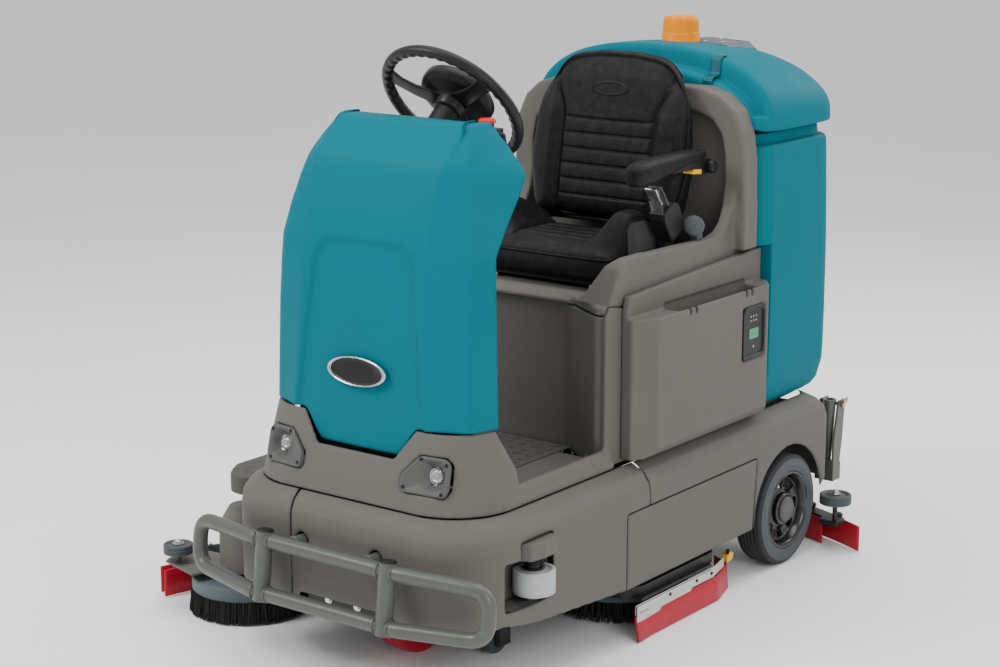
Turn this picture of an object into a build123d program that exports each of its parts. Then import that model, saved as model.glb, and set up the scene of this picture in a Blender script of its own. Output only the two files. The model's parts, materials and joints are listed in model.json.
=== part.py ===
"""Ride-on floor scrubber, in millimetres.

Frame: origin on the floor under the centre of the front drive wheel,
-Y is the driving direction, +X is the driver's left, +Z is up.
"""
from build123d import *
import math
import os

# ---------------------------------------------------------------- driving dimensions
GAP = 0.5                  # clearance between neighbouring pieces
BODY_HALF = 425.0          # half width of the lower body
BODY_BOTTOM = 150.0        # lower edge of the lower body
SEAM_Z = 457.0             # joint line between lower and upper body
SHOULDER_Z = 385.0         # where the flank turns into the sloping shoulder
UPPER_HALF = 369.0         # half width of the upper body at the joint line
BODY_FRONT_Y = -295.0      # front of the lower body
UPPER_FRONT_Y = -258.0     # front of the upper body at the joint line
BODY_SPLIT_Y = 430.0       # joint between front and rear lower body
BODY_REAR_Y = 1400.0       # back of the lower body
WALL = 8.0                 # moulded wall thickness
FLOOR_Z = 475.0            # top of the step floor
REAR_AXLE_Y = 1146.0
REAR_WHEEL_R = 159.0
REAR_WHEEL_OUT = 426.5     # outer face of the rear wheels
REAR_WHEEL_W = 90.0
DRIVE_WHEEL_R = 127.0
TYRE_SQUASH = 0.5          # how far a loaded tyre flattens on the floor
REAR_AXLE_Z = REAR_WHEEL_R - TYRE_SQUASH
FASCIA_TOP = 648.0         # top of the headlight fascia, where the cowl begins
BASE_TOP = 850.0           # top of the seat base
BASE_HALF = 352.0          # half width of the seat base
DECK_HALF = 350.0          # half width of the seat deck
STEER_CENTRE = (0.0, 158.0, 1373.0)
STEER_TILT = 50.0          # tilt of the steering wheel plane, degrees
STEER_R = 182.0
SCRUB_Y = 600.0            # centre of the scrub head
DISC_R = 200.0
SIDE_BRUSH = (-550.0, -35.0)
SIDE_ARM_PIVOT = (-268.0, 130.0)   # X and Z of the side brush arm hinge
SQUEEGEE_HALF = 540.0
SQUEEGEE_CROWN_Y = 1478.0          # rearmost point of the squeegee blade line
SQUEEGEE_PIVOT = (1360.0, 215.0)   # Y and Z of the rear squeegee hinge

os.makedirs("parts", exist_ok=True)


# ---------------------------------------------------------------- helpers
def block(x0, x1, y0, y1, z0, z1):
    """Axis-aligned box from its low and high corners."""
    centre = ((x0 + x1) / 2, (y0 + y1) / 2, (z0 + z1) / 2)
    return Pos(*centre) * Box(x1 - x0, y1 - y0, z1 - z0)


def rod(start, end, radius):
    """Round bar between two points."""
    a, b = Vector(*start), Vector(*end)
    plane = Plane(origin=a, z_dir=b - a)
    return extrude(plane * Circle(radius), (b - a).length)


def flat(points, radius=0.0):
    """Closed polygon face, with its corners rounded if a radius is given."""
    face = make_face(Polyline(*points, close=True))
    if radius:
        face = fillet(face.vertices(), radius)
    return face


def plan(face, z0, z1):
    """Prism of a face drawn in X and Y."""
    return extrude(Plane.XY.offset(z0) * face, z1 - z0)


def side(face, x0, x1):
    """Prism of a face drawn in Y and Z."""
    return extrude(Plane.YZ.offset(x0) * face, x1 - x0)


def front(face, y0, y1):
    """Prism of a face drawn in X and Z, from y0 to y1."""
    return extrude(Plane.XZ.offset(-y1) * face, y1 - y0)


def mirrored(shape):
    return mirror(shape, about=Plane.YZ)


def pair(shape):
    """A piece and its mirror image, as separate solids."""
    return group([shape, mirrored(shape)])


def group(shapes):
    solids = [s for shape in shapes for s in shape.solids()]
    return Compound(children=[Solid(s.wrapped) for s in solids])


def ring_wall(face, thickness, z0, z1):
    """Open wall that follows the outline of a face."""
    return plan(face, z0, z1) - plan(offset(face, -thickness), z0 - 1, z1 + 1)


def save(name, shape):
    export_step(shape, f"parts/{name}.step")


# ---------------------------------------------------------------- lower body
def body_outline(half, front_y, corner, rear_y):
    face = flat([(-half, rear_y), (-half, front_y), (half, front_y), (half, rear_y)])
    return fillet([v for v in face.vertices() if v.Y < front_y + 1], corner)


def lower_side_profile():
    """Outline of the lower body seen from the side."""
    return flat([
        (BODY_FRONT_Y - 1, 170), (BODY_FRONT_Y - 1, SEAM_Z + 1), (1340, SEAM_Z + 1), (BODY_REAR_Y + 1, 400),
        (BODY_REAR_Y + 1, 195), (1345, 195), (1300, BODY_BOTTOM), (322, BODY_BOTTOM), (104, 168), (-38, 178),
        (-173, 198)])


def full_outline(half, front_y, corner, rear_y):
    outline = body_outline(half, front_y, corner, rear_y)
    return fillet([v for v in outline.vertices() if v.Y > rear_y - 1], 60)


SHOULDER_ROWS = [      # height, half width, front Y, corner radius, rear Y
    (SHOULDER_Z, BODY_HALF, BODY_FRONT_Y, 190, BODY_REAR_Y),
    (413, 420, -292, 188, 1396),
    (438, 401, -281, 180, 1380),
    (SEAM_Z, UPPER_HALF, UPPER_FRONT_Y, 165, 1350)]


def shoulder_loft(inset):
    """The rounded shoulder between the flank and the joint line."""
    return loft([
        Plane.XY.offset(z) * full_outline(half - inset, front_y + inset, radius - inset, rear_y - inset)
        for z, half, front_y, radius, rear_y in SHOULDER_ROWS], ruled=True)


def lower_shell():
    outline = full_outline(BODY_HALF, BODY_FRONT_Y, 190, BODY_REAR_Y)
    walls = ring_wall(outline, WALL, BODY_BOTTOM - 40, SHOULDER_Z)
    shoulder = shoulder_loft(0) - shoulder_loft(WALL)
    return (walls + shoulder) & side(lower_side_profile(), -430, 430)


def wheel_arch(sign):
    inner = sign * 318
    outer = sign * 450
    arch = rod((inner, REAR_AXLE_Y, REAR_WHEEL_R), (outer, REAR_AXLE_Y, REAR_WHEEL_R), 187)
    low = min(inner, outer)
    high = max(inner, outer)
    skirt = block(low, high, REAR_AXLE_Y - 187, REAR_AXLE_Y + 187, 0, REAR_WHEEL_R)
    return arch + skirt


def door_outline(y0, y1, y1_low, z0, z1):
    return flat([(y0, z0), (y0, z1), (y1, z1), (y1_low, z0)])


DOOR_Y0, DOOR_Y1, DOOR_Y1_LOW, DOOR_TOP = 328.0, 965.0, 948.0, 350.0


def build_lower_body():
    shell = lower_shell()
    opening = door_outline(DOOR_Y0 - 2, DOOR_Y1 + 2, DOOR_Y1_LOW + 2, 100, DOOR_TOP + 2)
    shell -= side(opening, 395, 440)
    shell -= side(opening, -440, -395)
    shell -= wheel_arch(1)
    shell -= wheel_arch(-1)
    for x in (-118, 118):
        shell -= rod((x, -360, 340), (x, -250, 340), 21)
    shell -= block(355, 440, -172, 8, 232, 352) + block(362, 440, -122, 8, 350, 394)
    shell -= block(-70, 70, 1385, 1410, 150, 262)
    shell -= block(-130, 130, -320, -150, 100, 206)
    near = block(-500, 500, -400, BODY_SPLIT_Y - 1, 0, 500)
    corner = block(-500, -156, -400, BODY_SPLIT_Y - 1, 0, 500)
    gap = block(-500, -153, -400, BODY_SPLIT_Y, 0, 500)
    save("lower_body_front", (shell & near) - gap)
    save("front_access_panel", shell & corner)
    save("lower_body_rear", shell & block(-500, 500, BODY_SPLIT_Y + 1, 1500, 0, 500))


# ---------------------------------------------------------------- upper body
BEZEL_PLANE = Plane(origin=(243, -225, 552), x_dir=(1, 0.16, 0), z_dir=(0.154, -0.963, 0.22))


def bezel_outline():
    return flat([(-88, -46), (34, -49), (43, -28), (43, 30), (30, 44), (-40, 45), (-88, -6)], 12)


def base_outline():
    """Plan of the seat base: its front wall slants forward to a pillar at each side."""
    return flat([
        (-BASE_HALF, 1000), (-BASE_HALF, 335), (-318, 325), (-150, BODY_SPLIT_Y),
        (150, BODY_SPLIT_Y), (318, 325), (BASE_HALF, 335), (BASE_HALF, 1000)])


def build_upper_body():
    low = Plane.XY.offset(SEAM_Z + 2) * body_outline(UPPER_HALF, UPPER_FRONT_Y, 165, -40)
    high = Plane.XY.offset(FASCIA_TOP) * body_outline(331, -211, 130, -40)
    low_in = Plane.XY.offset(SEAM_Z + 2) * body_outline(UPPER_HALF - 10, UPPER_FRONT_Y + 10, 155, -39)
    high_in = Plane.XY.offset(FASCIA_TOP) * body_outline(321, -201, 120, -39)
    fascia = loft([low, high]) - loft([low_in, high_in])
    fascia -= block(-400, 400, -41.5, -30, 450, 700)
    fascia -= side(flat([(-93, 660), (-93, 640), (-20, 507), (0, 507), (0, 660)]), -400, 400)
    notch = flat([(-121, 574), (121, 574), (184, 660), (-184, 660)])
    fascia -= front(notch, -300, -120)
    fascia -= pair(extrude(BEZEL_PLANE * offset(bezel_outline(), GAP), 45, both=True))
    floor = plan(body_outline(UPPER_HALF, UPPER_FRONT_Y + 12, 153, 345), SEAM_Z + 2, FLOOR_Z)
    floor = floor - block(-400, 400, -300, -60, SEAM_Z, 500)
    floor += plan(body_outline(357, UPPER_FRONT_Y + 12, 153, -58), SEAM_Z + 2, FLOOR_Z)
    for sign in (-1, 1):
        sill = front(flat([
            (sign * 326, FLOOR_Z - 2), (sign * 337, 505), (sign * 352, 509), (sign * 361, 498),
            (sign * (UPPER_HALF - 1), SEAM_Z + 2), (sign * 326, SEAM_Z + 2)]), -40, 345)
        floor += sill
    floor -= rod((0, 0, 440), (0, 0, 490), 45)
    base = base_outline()
    walls = ring_wall(base, 10, SEAM_Z + 2, BASE_TOP)
    base_floor = plan(base, SEAM_Z + 2, FLOOR_Z)
    posts = flat([
        (325, SEAM_Z + 2), (325, BASE_TOP), (345, BASE_TOP + 24), (470, BASE_TOP), (470, SEAM_Z + 2)])
    cheeks = side(posts, 343, BASE_HALF)
    upper = fascia + floor + walls + base_floor + cheeks + mirrored(cheeks)
    save("upper_body", upper)


def build_step_mat():
    """Rubber tread sheet with rows of round studs."""
    sheet = block(-200, 200, 130, 392, FLOOR_Z, FLOOR_Z + 3)
    studs = []
    for row in range(7):
        for col in range(9):
            x = -168 + 42 * col
            y = 150 + 37 * row
            studs.append(rod((x, y, FLOOR_Z + 2), (x, y, FLOOR_Z + 5), 10))
    save("step_mat", sheet + studs)


# ---------------------------------------------------------------- cowl and controls
def cowl_section(z, rows, inset=0.0, rear=0.0):
    """Horizontal section of the cowl; rows are (half width, Y) pairs from the centre out."""
    right = [(max(x - inset, 1), y + inset) for x, y in rows]
    right[-1] = (rows[-1][0] - inset, rows[-1][1] + rear)
    left = [(-x, y) for x, y in reversed(right)]
    return Plane.XY.offset(z) * flat(left + right)


COWL_ROWS = [
    (650.0, [(200, -222), (300, -172), (330, -88)]),
    (1066.0, [(186, -184), (266, -154), (333, -102)]),
    (1240.0, [(186, -139), (236, -117), (331, 22)]),
    (1272.0, [(188, -124), (226, -101), (304, 28)]),
    (1353.0, [(192, -49), (206, -35), (222, 36)]),
]


def build_cowl():
    outer = loft([cowl_section(z, rows) for z, rows in COWL_ROWS], ruled=True)
    inner = loft([cowl_section(z, rows, 7, 3) for z, rows in COWL_ROWS], ruled=True)
    lid_face = Plane.XY.offset(1353) * flat([
        (-222, 36), (-206, -35), (-192, -49), (192, -49), (206, -35), (222, 36)])
    lid_top = Plane.XY.offset(1360) * flat([
        (-206, 30), (-196, -26), (-184, -38), (184, -38), (196, -26), (206, 30)])
    cowl = outer - inner + loft([lid_face, lid_top], ruled=True)
    skirt = flat([(-117, 579), (117, 579), (177, 652), (-177, 652)])
    skirt_slab = front(skirt, -235, -200) & side(flat([
        (-228, 575), (-221, 652), (-214, 652), (-221, 575)]), -200, 200)
    save("front_cowl", cowl + skirt_slab)
    plate = Plane.XZ.offset(206) * Ellipse(92, 37)
    badge = Pos(0, 0, 768) * Rot(-6, 0, 0) * extrude(plate, 8)
    badge = badge - outer
    save("cowl_badge", badge.solids()[0])


def on_steering_axis(distance):
    """Point on the steering axis, measured up from the wheel's centre."""
    angle = math.radians(STEER_TILT)
    return (0.0,
            STEER_CENTRE[1] + distance * math.sin(angle),
            STEER_CENTRE[2] + distance * math.cos(angle))


def build_steering():
    axis = Vector(*on_steering_axis(1)) - Vector(*STEER_CENTRE)
    plane = Plane(origin=STEER_CENTRE, x_dir=(1, 0, 0), z_dir=axis)
    wheel = plane * Torus(STEER_R, 15)
    hub = plane * Pos(0, 0, 4) * Cylinder(38, 64)
    for angle in (90, 210, 330):
        spoke = Pos(105, 0, -8) * Box(150, 40, 10)
        wheel += plane * Rot(0, 0, angle) * spoke
    dish = plane * Pos(0, 0, 26) * Cylinder(98, 36)
    dish -= plane * Pos(0, 0, 16) * Cylinder(90, 30)
    save("steering_wheel", wheel + hub + dish)
    column = rod(on_steering_axis(-190), on_steering_axis(-32), 32)
    save("steering_column", column)


def build_console():
    panel = flat([
        (-84, 482), (-72, 482), (-90, 1066), (34, 1242), (58, 1290), (46, 1334), (34, 1334),
        (44, 1290), (22, 1248), (-102, 1072)])
    console = side(panel, -250, 250)
    console -= rod(on_steering_axis(-220), on_steering_axis(0), 34)
    console += block(150, 210, 40, 92, 1290, 1338)
    console -= rod((180, 64, 1280), (180, 64, 1345), 8.1)
    console -= rod((-150, 20, 1300), (-150, 90, 1300), 9.1)
    save("console_panel", console)
    button = rod((180, 64, 1300), (180, 64, 1346), 8) + rod((180, 64, 1346), (180, 64, 1362), 22)
    save("estop_button", button)
    key = rod((-150, 35, 1300), (-150, 72, 1300), 9) + block(-160, -140, 72, 92, 1284, 1316)
    save("key_switch", key)
    base = on_steering_axis(-60)
    lever = rod((33, *base[1:]), (140, *base[1:]), 6) + Pos(146, *base[1:]) * Sphere(13)
    save("direction_lever", lever)


def pedal(x, width):
    plate = Rot(-32, 0, 0) * Box(width, 130, 8)
    plate = Pos(x, 42, 540) * plate
    return plate + rod((x - width / 2, 98, 500), (x + width / 2, 98, 500), 9)


def build_pedals():
    save("propel_pedal", pedal(-120, 90))
    save("brake_pedal", pedal(20, 80))


def build_headlights():
    shape = extrude(BEZEL_PLANE * bezel_outline(), 5, both=True)
    shape -= extrude(BEZEL_PLANE * Circle(26), 20, both=True)
    screws = [
        extrude(BEZEL_PLANE * Pos(u, v, 5) * Circle(4), 3)
        for u, v in ((-36, 34), (34, 22), (24, -38), (-76, -34))]
    save("headlight_bezels", group([shape, mirrored(shape), *screws, *[mirrored(screw) for screw in screws]]))
    lens = extrude(BEZEL_PLANE * Circle(25), 6, both=True)
    save("headlight_lenses", pair(lens))


# ---------------------------------------------------------------- bumper and front rollers
def build_bumper():
    right = [
        (0, -342, 340), (230, -342, 340), (461, -294, 332), (461, -304, 214),
        (230, -358, 208), (0, -358, 208)]
    path = FilletPolyline(*right, radius=[100, 52, 52, 100])
    half = sweep(Plane(origin=right[0], z_dir=(1, 0, 0)) * Circle(19), path=path)
    post = rod((196, -361, 188), (196, -340, 363), 21.5)
    stub = rod((118, -342, 340), (118, -205, 340), 17)
    half = half + post + stub
    save("bumper_tube", half + mirrored(half))


def build_corner_roller():
    centre = (410, -54)
    roller = rod((*centre, 255), (*centre, 315), 52)
    roller -= rod((*centre, 250), (*centre, 320), 8.05)
    save("corner_roller", fillet(roller.edges().group_by(Axis.Z)[-1].sort_by(SortBy.LENGTH)[-1:], 6))
    cap_face = flat([(350, -116), (414, -116), (441, -104), (450, -60), (446, -12), (428, 4), (350, 4)])
    bracket = plan(cap_face, 348, 390) + rod((*centre, 244), (*centre, 349), 8)
    bracket += plan(flat([(350, -72), (410, -72), (422, -54), (410, -36), (350, -36)]), 236, 246)
    bracket += rod((*centre, 317), (*centre, 349), 16)
    save("roller_bracket", bracket)


def build_support_wheels():
    """Small solid wheels behind the front corners, just clear of the floor."""
    for name, sign in (("left", 1), ("right", -1)):
        wheel = rod((sign * 160, 92, 42), (sign * 194, 92, 42), 40)
        wheel -= rod((sign * 150, 92, 42), (sign * 200, 92, 42), 8.05)
        save(f"support_wheel_{name}", wheel)


# ---------------------------------------------------------------- frame and drive
def build_chassis():
    rail = block(180, 230, -190, 1320, 385, 440)
    leg = block(198, 214, 70, 114, 28, 386) + rod((152, 92, 42), (200, 92, 42), 8)
    axle_post = block(200, 230, 1110, 1182, 128, 386)
    axle_post -= rod((190, REAR_AXLE_Y, REAR_AXLE_Z), (240, REAR_AXLE_Y, REAR_AXLE_Z), 15)
    half = rail + leg + axle_post
    frame = half + mirrored(half)
    frame += block(-180, 180, -70, 70, 385, 440) + block(-180, 180, 378, 428, 385, 440)
    frame += block(-180, 180, 960, 1010, 385, 440) + block(-180, 180, 1270, 1320, 385, 440)
    frame += block(-230, 230, -205, -190, 300, 440) + block(-130, 130, -196, -190, 107, 302)
    frame -= rod((0, 0, 300), (0, 0, 470), 30.05)
    arm_post = block(-262, -230, 20, 100, 105, 440)
    frame += arm_post
    hitch = side(flat([
        (1272, 386), (1318, 386), (1320, 300), (1380, 240), (1380, 195), (1340, 195), (1272, 300)]), -20, 20)
    frame += hitch - rod((-30, *SQUEEGEE_PIVOT), (30, *SQUEEGEE_PIVOT), 6.06)
    axle = rod((-420, REAR_AXLE_Y, REAR_AXLE_Z), (420, REAR_AXLE_Y, REAR_AXLE_Z), 15)
    save("chassis_frame", group([frame, axle]))


def build_drive():
    fork = rod((0, 0, 268), (0, 0, 290), 110)
    for sign in (-1, 1):
        low_x, high_x = sorted((sign * 48, sign * 62))
        fork += block(low_x, high_x, -45, 45, 95, 270)
    fork += rod((-62, 0, 126.5), (62, 0, 126.5), 12)
    fork += rod((0, 0, 288), (0, 0, 448), 30)
    motor = rod((0, 78, 290.0), (0, 78, 372), 46)
    save("drive_unit", fork + motor)
    axle_z = DRIVE_WHEEL_R - TYRE_SQUASH
    wheel = rod((-40, 0, axle_z), (40, 0, axle_z), DRIVE_WHEEL_R)
    wheel -= rod((-50, 0, axle_z), (50, 0, axle_z), 12.06)
    wheel -= block(-60, 60, -100, 100, -20, 0)
    save("drive_wheel", wheel)


def build_rear_wheels():
    axle_z = REAR_AXLE_Z
    inner = REAR_WHEEL_OUT - REAR_WHEEL_W
    for name, sign in (("left", 1), ("right", -1)):
        ends = (sign * inner, REAR_AXLE_Y, axle_z), (sign * REAR_WHEEL_OUT, REAR_AXLE_Y, axle_z)
        tyre = rod(*ends, REAR_WHEEL_R) - rod(*ends, 112)
        tyre -= block(-500, 500, 1000, 1300, -20, 0)
        save(f"rear_tyre_{name}", tyre)
        hub = rod(*ends, 112) - rod((sign * 385, REAR_AXLE_Y, axle_z), (sign * 430, REAR_AXLE_Y, axle_z), 98)
        hub += rod((sign * 380, REAR_AXLE_Y, axle_z), (sign * 424, REAR_AXLE_Y, axle_z), 45)
        hub -= rod((sign * 330, REAR_AXLE_Y, axle_z), (sign * 420.5, REAR_AXLE_Y, axle_z), 15.06)
        save(f"rear_hub_{name}", hub)


# ---------------------------------------------------------------- seat group
def build_seat_deck():
    """Tub under the seat, side walls that rise to the rear, and the arch behind the seat."""
    tub = block(-341, 341, 402, 1000, BASE_TOP + 1, BASE_TOP + 11)
    nose_side = flat([(344, 876), (560, 852), (560, 985), (430, 985), (400, 975), (385, 962)])
    nose_front = flat([
        (235, BASE_TOP + 2), (DECK_HALF, BASE_TOP + 2), (DECK_HALF, 986), (322, 986), (300, 965),
        (262, 895), (235, 878)])
    nose = side(nose_side, 235, DECK_HALF) & front(nose_front, 340, 520)
    wall = side(flat([
        (469, BASE_TOP + 2), (469, 984), (830, 978), (870, 987), (900, 1010), (920, 1050), (931, 1110),
        (1000, 1110), (1000, BASE_TOP + 2)]), 318, DECK_HALF)
    lip = side(flat([
        (402, BASE_TOP + 1), (402, 862), (440, 871), (460, 861), (460, BASE_TOP + 1)]), -330, 330)
    apron = plan(offset(base_outline(), -2), BASE_TOP + 1, 872) & block(-342, 342, 300, 470, 840, 880)
    arch_outer = flat([
        (-384, 1060), (384, 1060), (380, 1180), (370, 1250), (345, 1305), (300, 1343), (240, 1362),
        (-240, 1362), (-300, 1343), (-345, 1305), (-370, 1250), (-380, 1180)])
    arch_inner = flat([
        (-312, 840), (312, 840), (318, 1180), (306, 1240), (275, 1278), (220, 1298), (160, 1304),
        (-160, 1304), (-220, 1298), (-275, 1278), (-306, 1240), (-318, 1180)])
    arch = front(arch_outer, 930, 1000) + block(-DECK_HALF, DECK_HALF, 930, 1000, 860, 1062)
    arch += front(flat([(340, 932), (385, 932), (384, 1062), (340, 1062)]), 930, 1000)
    arch -= front(arch_inner, 920, 962)
    save("seat_deck", tub + lip + apron + arch + nose + mirrored(nose) + wall + mirrored(wall))


SEAT_FLOOR = 861.0


def build_seat():
    rail = block(150, 176, 540, 880, SEAT_FLOOR, SEAT_FLOOR + 12)
    save("seat_rails", pair(rail))
    frame = block(-225, 225, 540, 850, SEAT_FLOOR + 12.5, SEAT_FLOOR + 22)
    ear = block(232, 244, 820, 885, SEAT_FLOOR + 13, 1010)
    ear += block(200, 244, 820, 849, SEAT_FLOOR + 12.5, SEAT_FLOOR + 22)
    ear -= rod((225, 855, 985), (250, 855, 985), 8.05)
    tab = block(224, 274, 686, 720, SEAT_FLOOR + 12.5, SEAT_FLOOR + 22)
    save("seat_frame", frame + ear + mirrored(ear) + tab)
    cushion = block(-230, 230, 522, 790, SEAT_FLOOR + 22.5, 985)
    cushion = fillet(cushion.edges().filter_by(Axis.Z), 45)
    bolster = side(flat([(600, 980), (630, 1055), (760, 1040), (785, 980)]), 165, 229)
    save("seat_cushion", cushion + bolster + mirrored(bolster))
    reel = Pos(280, 708, 1035) * Rot(30, 0, 0) * Box(52, 80, 95)
    reel += Pos(280, 662, 1098) * Rot(30, 0, 0) * Box(30, 22, 70)
    reel += block(256, 272, 692, 714, SEAT_FLOOR + 22, 1015)
    save("belt_reel", reel)


def build_seat_back():
    face = flat([
        (-228, 1000), (228, 1000), (246, 1150), (226, 1300), (120, 1436), (-120, 1436),
        (-226, 1300), (-246, 1150)], 60)
    profile = flat([
        (800, 1000), (862, 1400), (878, 1436), (905, 1432), (920, 1330), (902, 1000)])
    slab = front(face, 780, 940) & side(profile, -260, 260)
    hinge = rod((-243, 855, 985), (243, 855, 985), 8)
    lug = block(190, 215, 842, 868, 975, 1012)
    slab = slab + hinge + lug + mirrored(lug)
    stalk = rod((236, 880, 1160), (306, 880, 1160), 9)
    save("seat_back", slab + stalk)
    pad = side(flat([(530, 1178), (545, 1203), (860, 1208), (862, 1180), (700, 1165), (560, 1158)]), 256, 312)
    lug = side(flat([(800, 1180), (860, 1190), (900, 1180), (900, 1140), (840, 1148)]), 262, 298)
    armrest = pad + lug - rod((250, 880, 1160), (320, 880, 1160), 9.06)
    save("armrest_left", armrest)


# ---------------------------------------------------------------- side pods and doors
def pod_solid():
    """Side pod with slanted ends and a bevelled outer face."""
    body = plan(flat([(353, 392), (386, 390), (426, 455), (426, 1000), (392, 1046), (353, 1046)]), 471, 930)
    return body & side(flat([
        (380, 471), (1040, 471), (1060, 820), (1060, 926), (400, 892), (380, 800)]), 350, 430)


def build_pods():
    pod = pod_solid()
    pod -= front(flat([(372, 836), (372, 940), (440, 940), (440, 836)]), 300, 1100)
    pod -= block(366, 416, 560, 960, 740, 850)
    pod -= front(flat([(404, 470), (430, 470), (430, 500)]), 300, 1100)
    for y in (606, 634, 886, 914):
        pod -= rod((412, y, 822), (432, y, 822), 6) + block(412, 432, y - 6, y + 6, 822, 840)
    panel_seat = block(420.5, 430, 866, 986, 640, 790)
    save("pod_left", pod - panel_seat)
    right = mirrored(pod_solid()) - block(-430, -350, 300, 1100, 836, 940)
    save("pod_right", right - front(flat([(-404, 470), (-430, 470), (-430, 500)]), 300, 1100))
    panel = block(421, 428, 868, 984, 642, 788)
    panel -= block(425, 430, 900, 955, 700, 760)
    save("charger_panel", panel)


def build_doors():
    outline = door_outline(DOOR_Y0, DOOR_Y1, DOOR_Y1_LOW, BODY_BOTTOM, DOOR_TOP)
    door = side(outline, 417.5, 425.5)
    save("door_left", door)
    save("door_right", mirrored(door))


# ---------------------------------------------------------------- tanks
TANK_FRONT, TANK_REAR, TANK_HALF = 1003.0, 1425.0, 395.0
TANK_BOTTOM, TANK_TOP = 470.0, 1238.0
TANK_BELT = 530.0          # height where the tank reaches its full width
TANK_WALL = 10.0


def tank_face(half, y0, y1, radius):
    return flat([(-half, y1), (-half, y0), (half, y0), (half, y1)], radius)


def build_tank():
    foot = tank_face(374, TANK_FRONT, 1385, 60)
    belt = tank_face(TANK_HALF, TANK_FRONT, TANK_REAR, 80)
    mouth = tank_face(TANK_HALF - 8, TANK_FRONT, TANK_REAR - 10, 80)
    outer = loft([
        Plane.XY.offset(TANK_BOTTOM) * foot,
        Plane.XY.offset(TANK_BELT) * belt,
        Plane.XY.offset(TANK_TOP) * mouth], ruled=True)
    inner = loft([
        Plane.XY.offset(TANK_BOTTOM + TANK_WALL) * offset(foot, -TANK_WALL),
        Plane.XY.offset(TANK_BELT) * offset(belt, -TANK_WALL),
        Plane.XY.offset(TANK_TOP + 1) * offset(mouth, -TANK_WALL)], ruled=True)
    shelf = pair(block(352, 440, 990, 1062, 460, 932))
    shelf_wall = pair(block(342, 440, 980, 1072, 450, 942))
    save("recovery_tank", (outer - shelf) - (inner - shelf_wall))


def lid_plan(half, y0, y1, radius):
    """Plan of the lid, with its rear corners well rounded."""
    face = flat([
        (-half + 20, y0), (half - 20, y0), (half, y0 + 60), (half, y1), (-half, y1), (-half, y0 + 60)])
    return fillet([v for v in face.vertices() if v.Y > y1 - 1], radius)


def lid_arch(half, top, z0, inset=0.0):
    """Front view of the lid: a broad rounded arch."""
    return flat([
        (-half + inset, z0), (half - inset, z0), (half - inset, 1282 - inset), (345 - inset, 1330 - inset),
        (250, 1402 - inset), (110, top - inset), (-110, top - inset), (-250, 1402 - inset),
        (-345 + inset, 1330 - inset), (-half + inset, 1282 - inset)])


def build_lid():
    profile = flat([
        (1002, TANK_TOP + 1), (1002, 1400), (1030, 1452), (1300, 1444), (1410, 1392), (1434, 1330),
        (1434, TANK_TOP + 1)])
    inner_profile = flat([
        (1014, TANK_TOP), (1014, 1395), (1040, 1440), (1300, 1432), (1400, 1384), (1422, 1325),
        (1422, TANK_TOP)])
    lid = front(lid_arch(392, 1452, TANK_TOP + 1), 1000, 1436) & side(profile, -400, 400)
    lid = lid & plan(lid_plan(392, 1001, 1435, 110), TANK_TOP, 1460)
    hollow = front(lid_arch(392, 1452, TANK_TOP, 10), 1000, 1436) & side(inner_profile, -400, 400)
    hollow = hollow & plan(lid_plan(381, 1010, 1424, 99), TANK_TOP - 2, 1460)
    behind = block(-400, 400, 1044, 1440, TANK_TOP - 5, 1460)
    lowered = Pos(0, 0, -52)
    lid = (lid & behind) + (lid & lowered * lid)
    lid -= (hollow & Pos(0, 10, 0) * behind) + (hollow & lowered * hollow)
    strap = side(flat([
        (1001, 1300), (1001, 1376), (1038, 1376), (1038, 1408), (1046, 1408), (1046, 1358), (1007, 1358),
        (1007, 1300)]), 198, 236)
    lid -= block(190, 244, 999, 1007, 1290, 1360)
    save("tank_lid", lid + strap)
    base = front(flat([(0, 1400), (178, 1385), (174, 1430), (148, 1452), (40, 1457), (0, 1457)]), 1205, 1335)
    base += Pos(2, 1200, 0) * loft([Plane.XY.offset(1428) * Circle(70), Plane.XY.offset(1451) * Circle(58)])
    base -= rod((2, 1200, 1451), (2, 1200, 1480), 58)
    base -= lid + hollow
    solids = base.solids().sort_by(SortBy.VOLUME)
    save("beacon_base", solids[-1])
    lens = Plane.XY.offset(1451.2) * Circle(56)
    lens_top = Plane.XY.offset(1527) * Circle(48.5)
    save("beacon_lens", Pos(2, 1200, 0) * loft([lens, lens_top]))


def build_batteries():
    cells = []
    for x in (-210, 0, 210):
        for y in (560, 760):
            case = block(x - 95, x + 95, y - 92, y + 92, FLOOR_Z + 0.5, 740)
            posts = rod((x - 60, y, 738), (x - 60, y, 760), 9) + rod((x + 60, y, 738), (x + 60, y, 760), 9)
            cells.append(case + posts)
    save("batteries", group(cells))


# ---------------------------------------------------------------- scrub head
def squeegee_path():
    return FilletPolyline((427, 362), (427, 760), (392, 872), (330, 905), radius=[90, 55])


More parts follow.
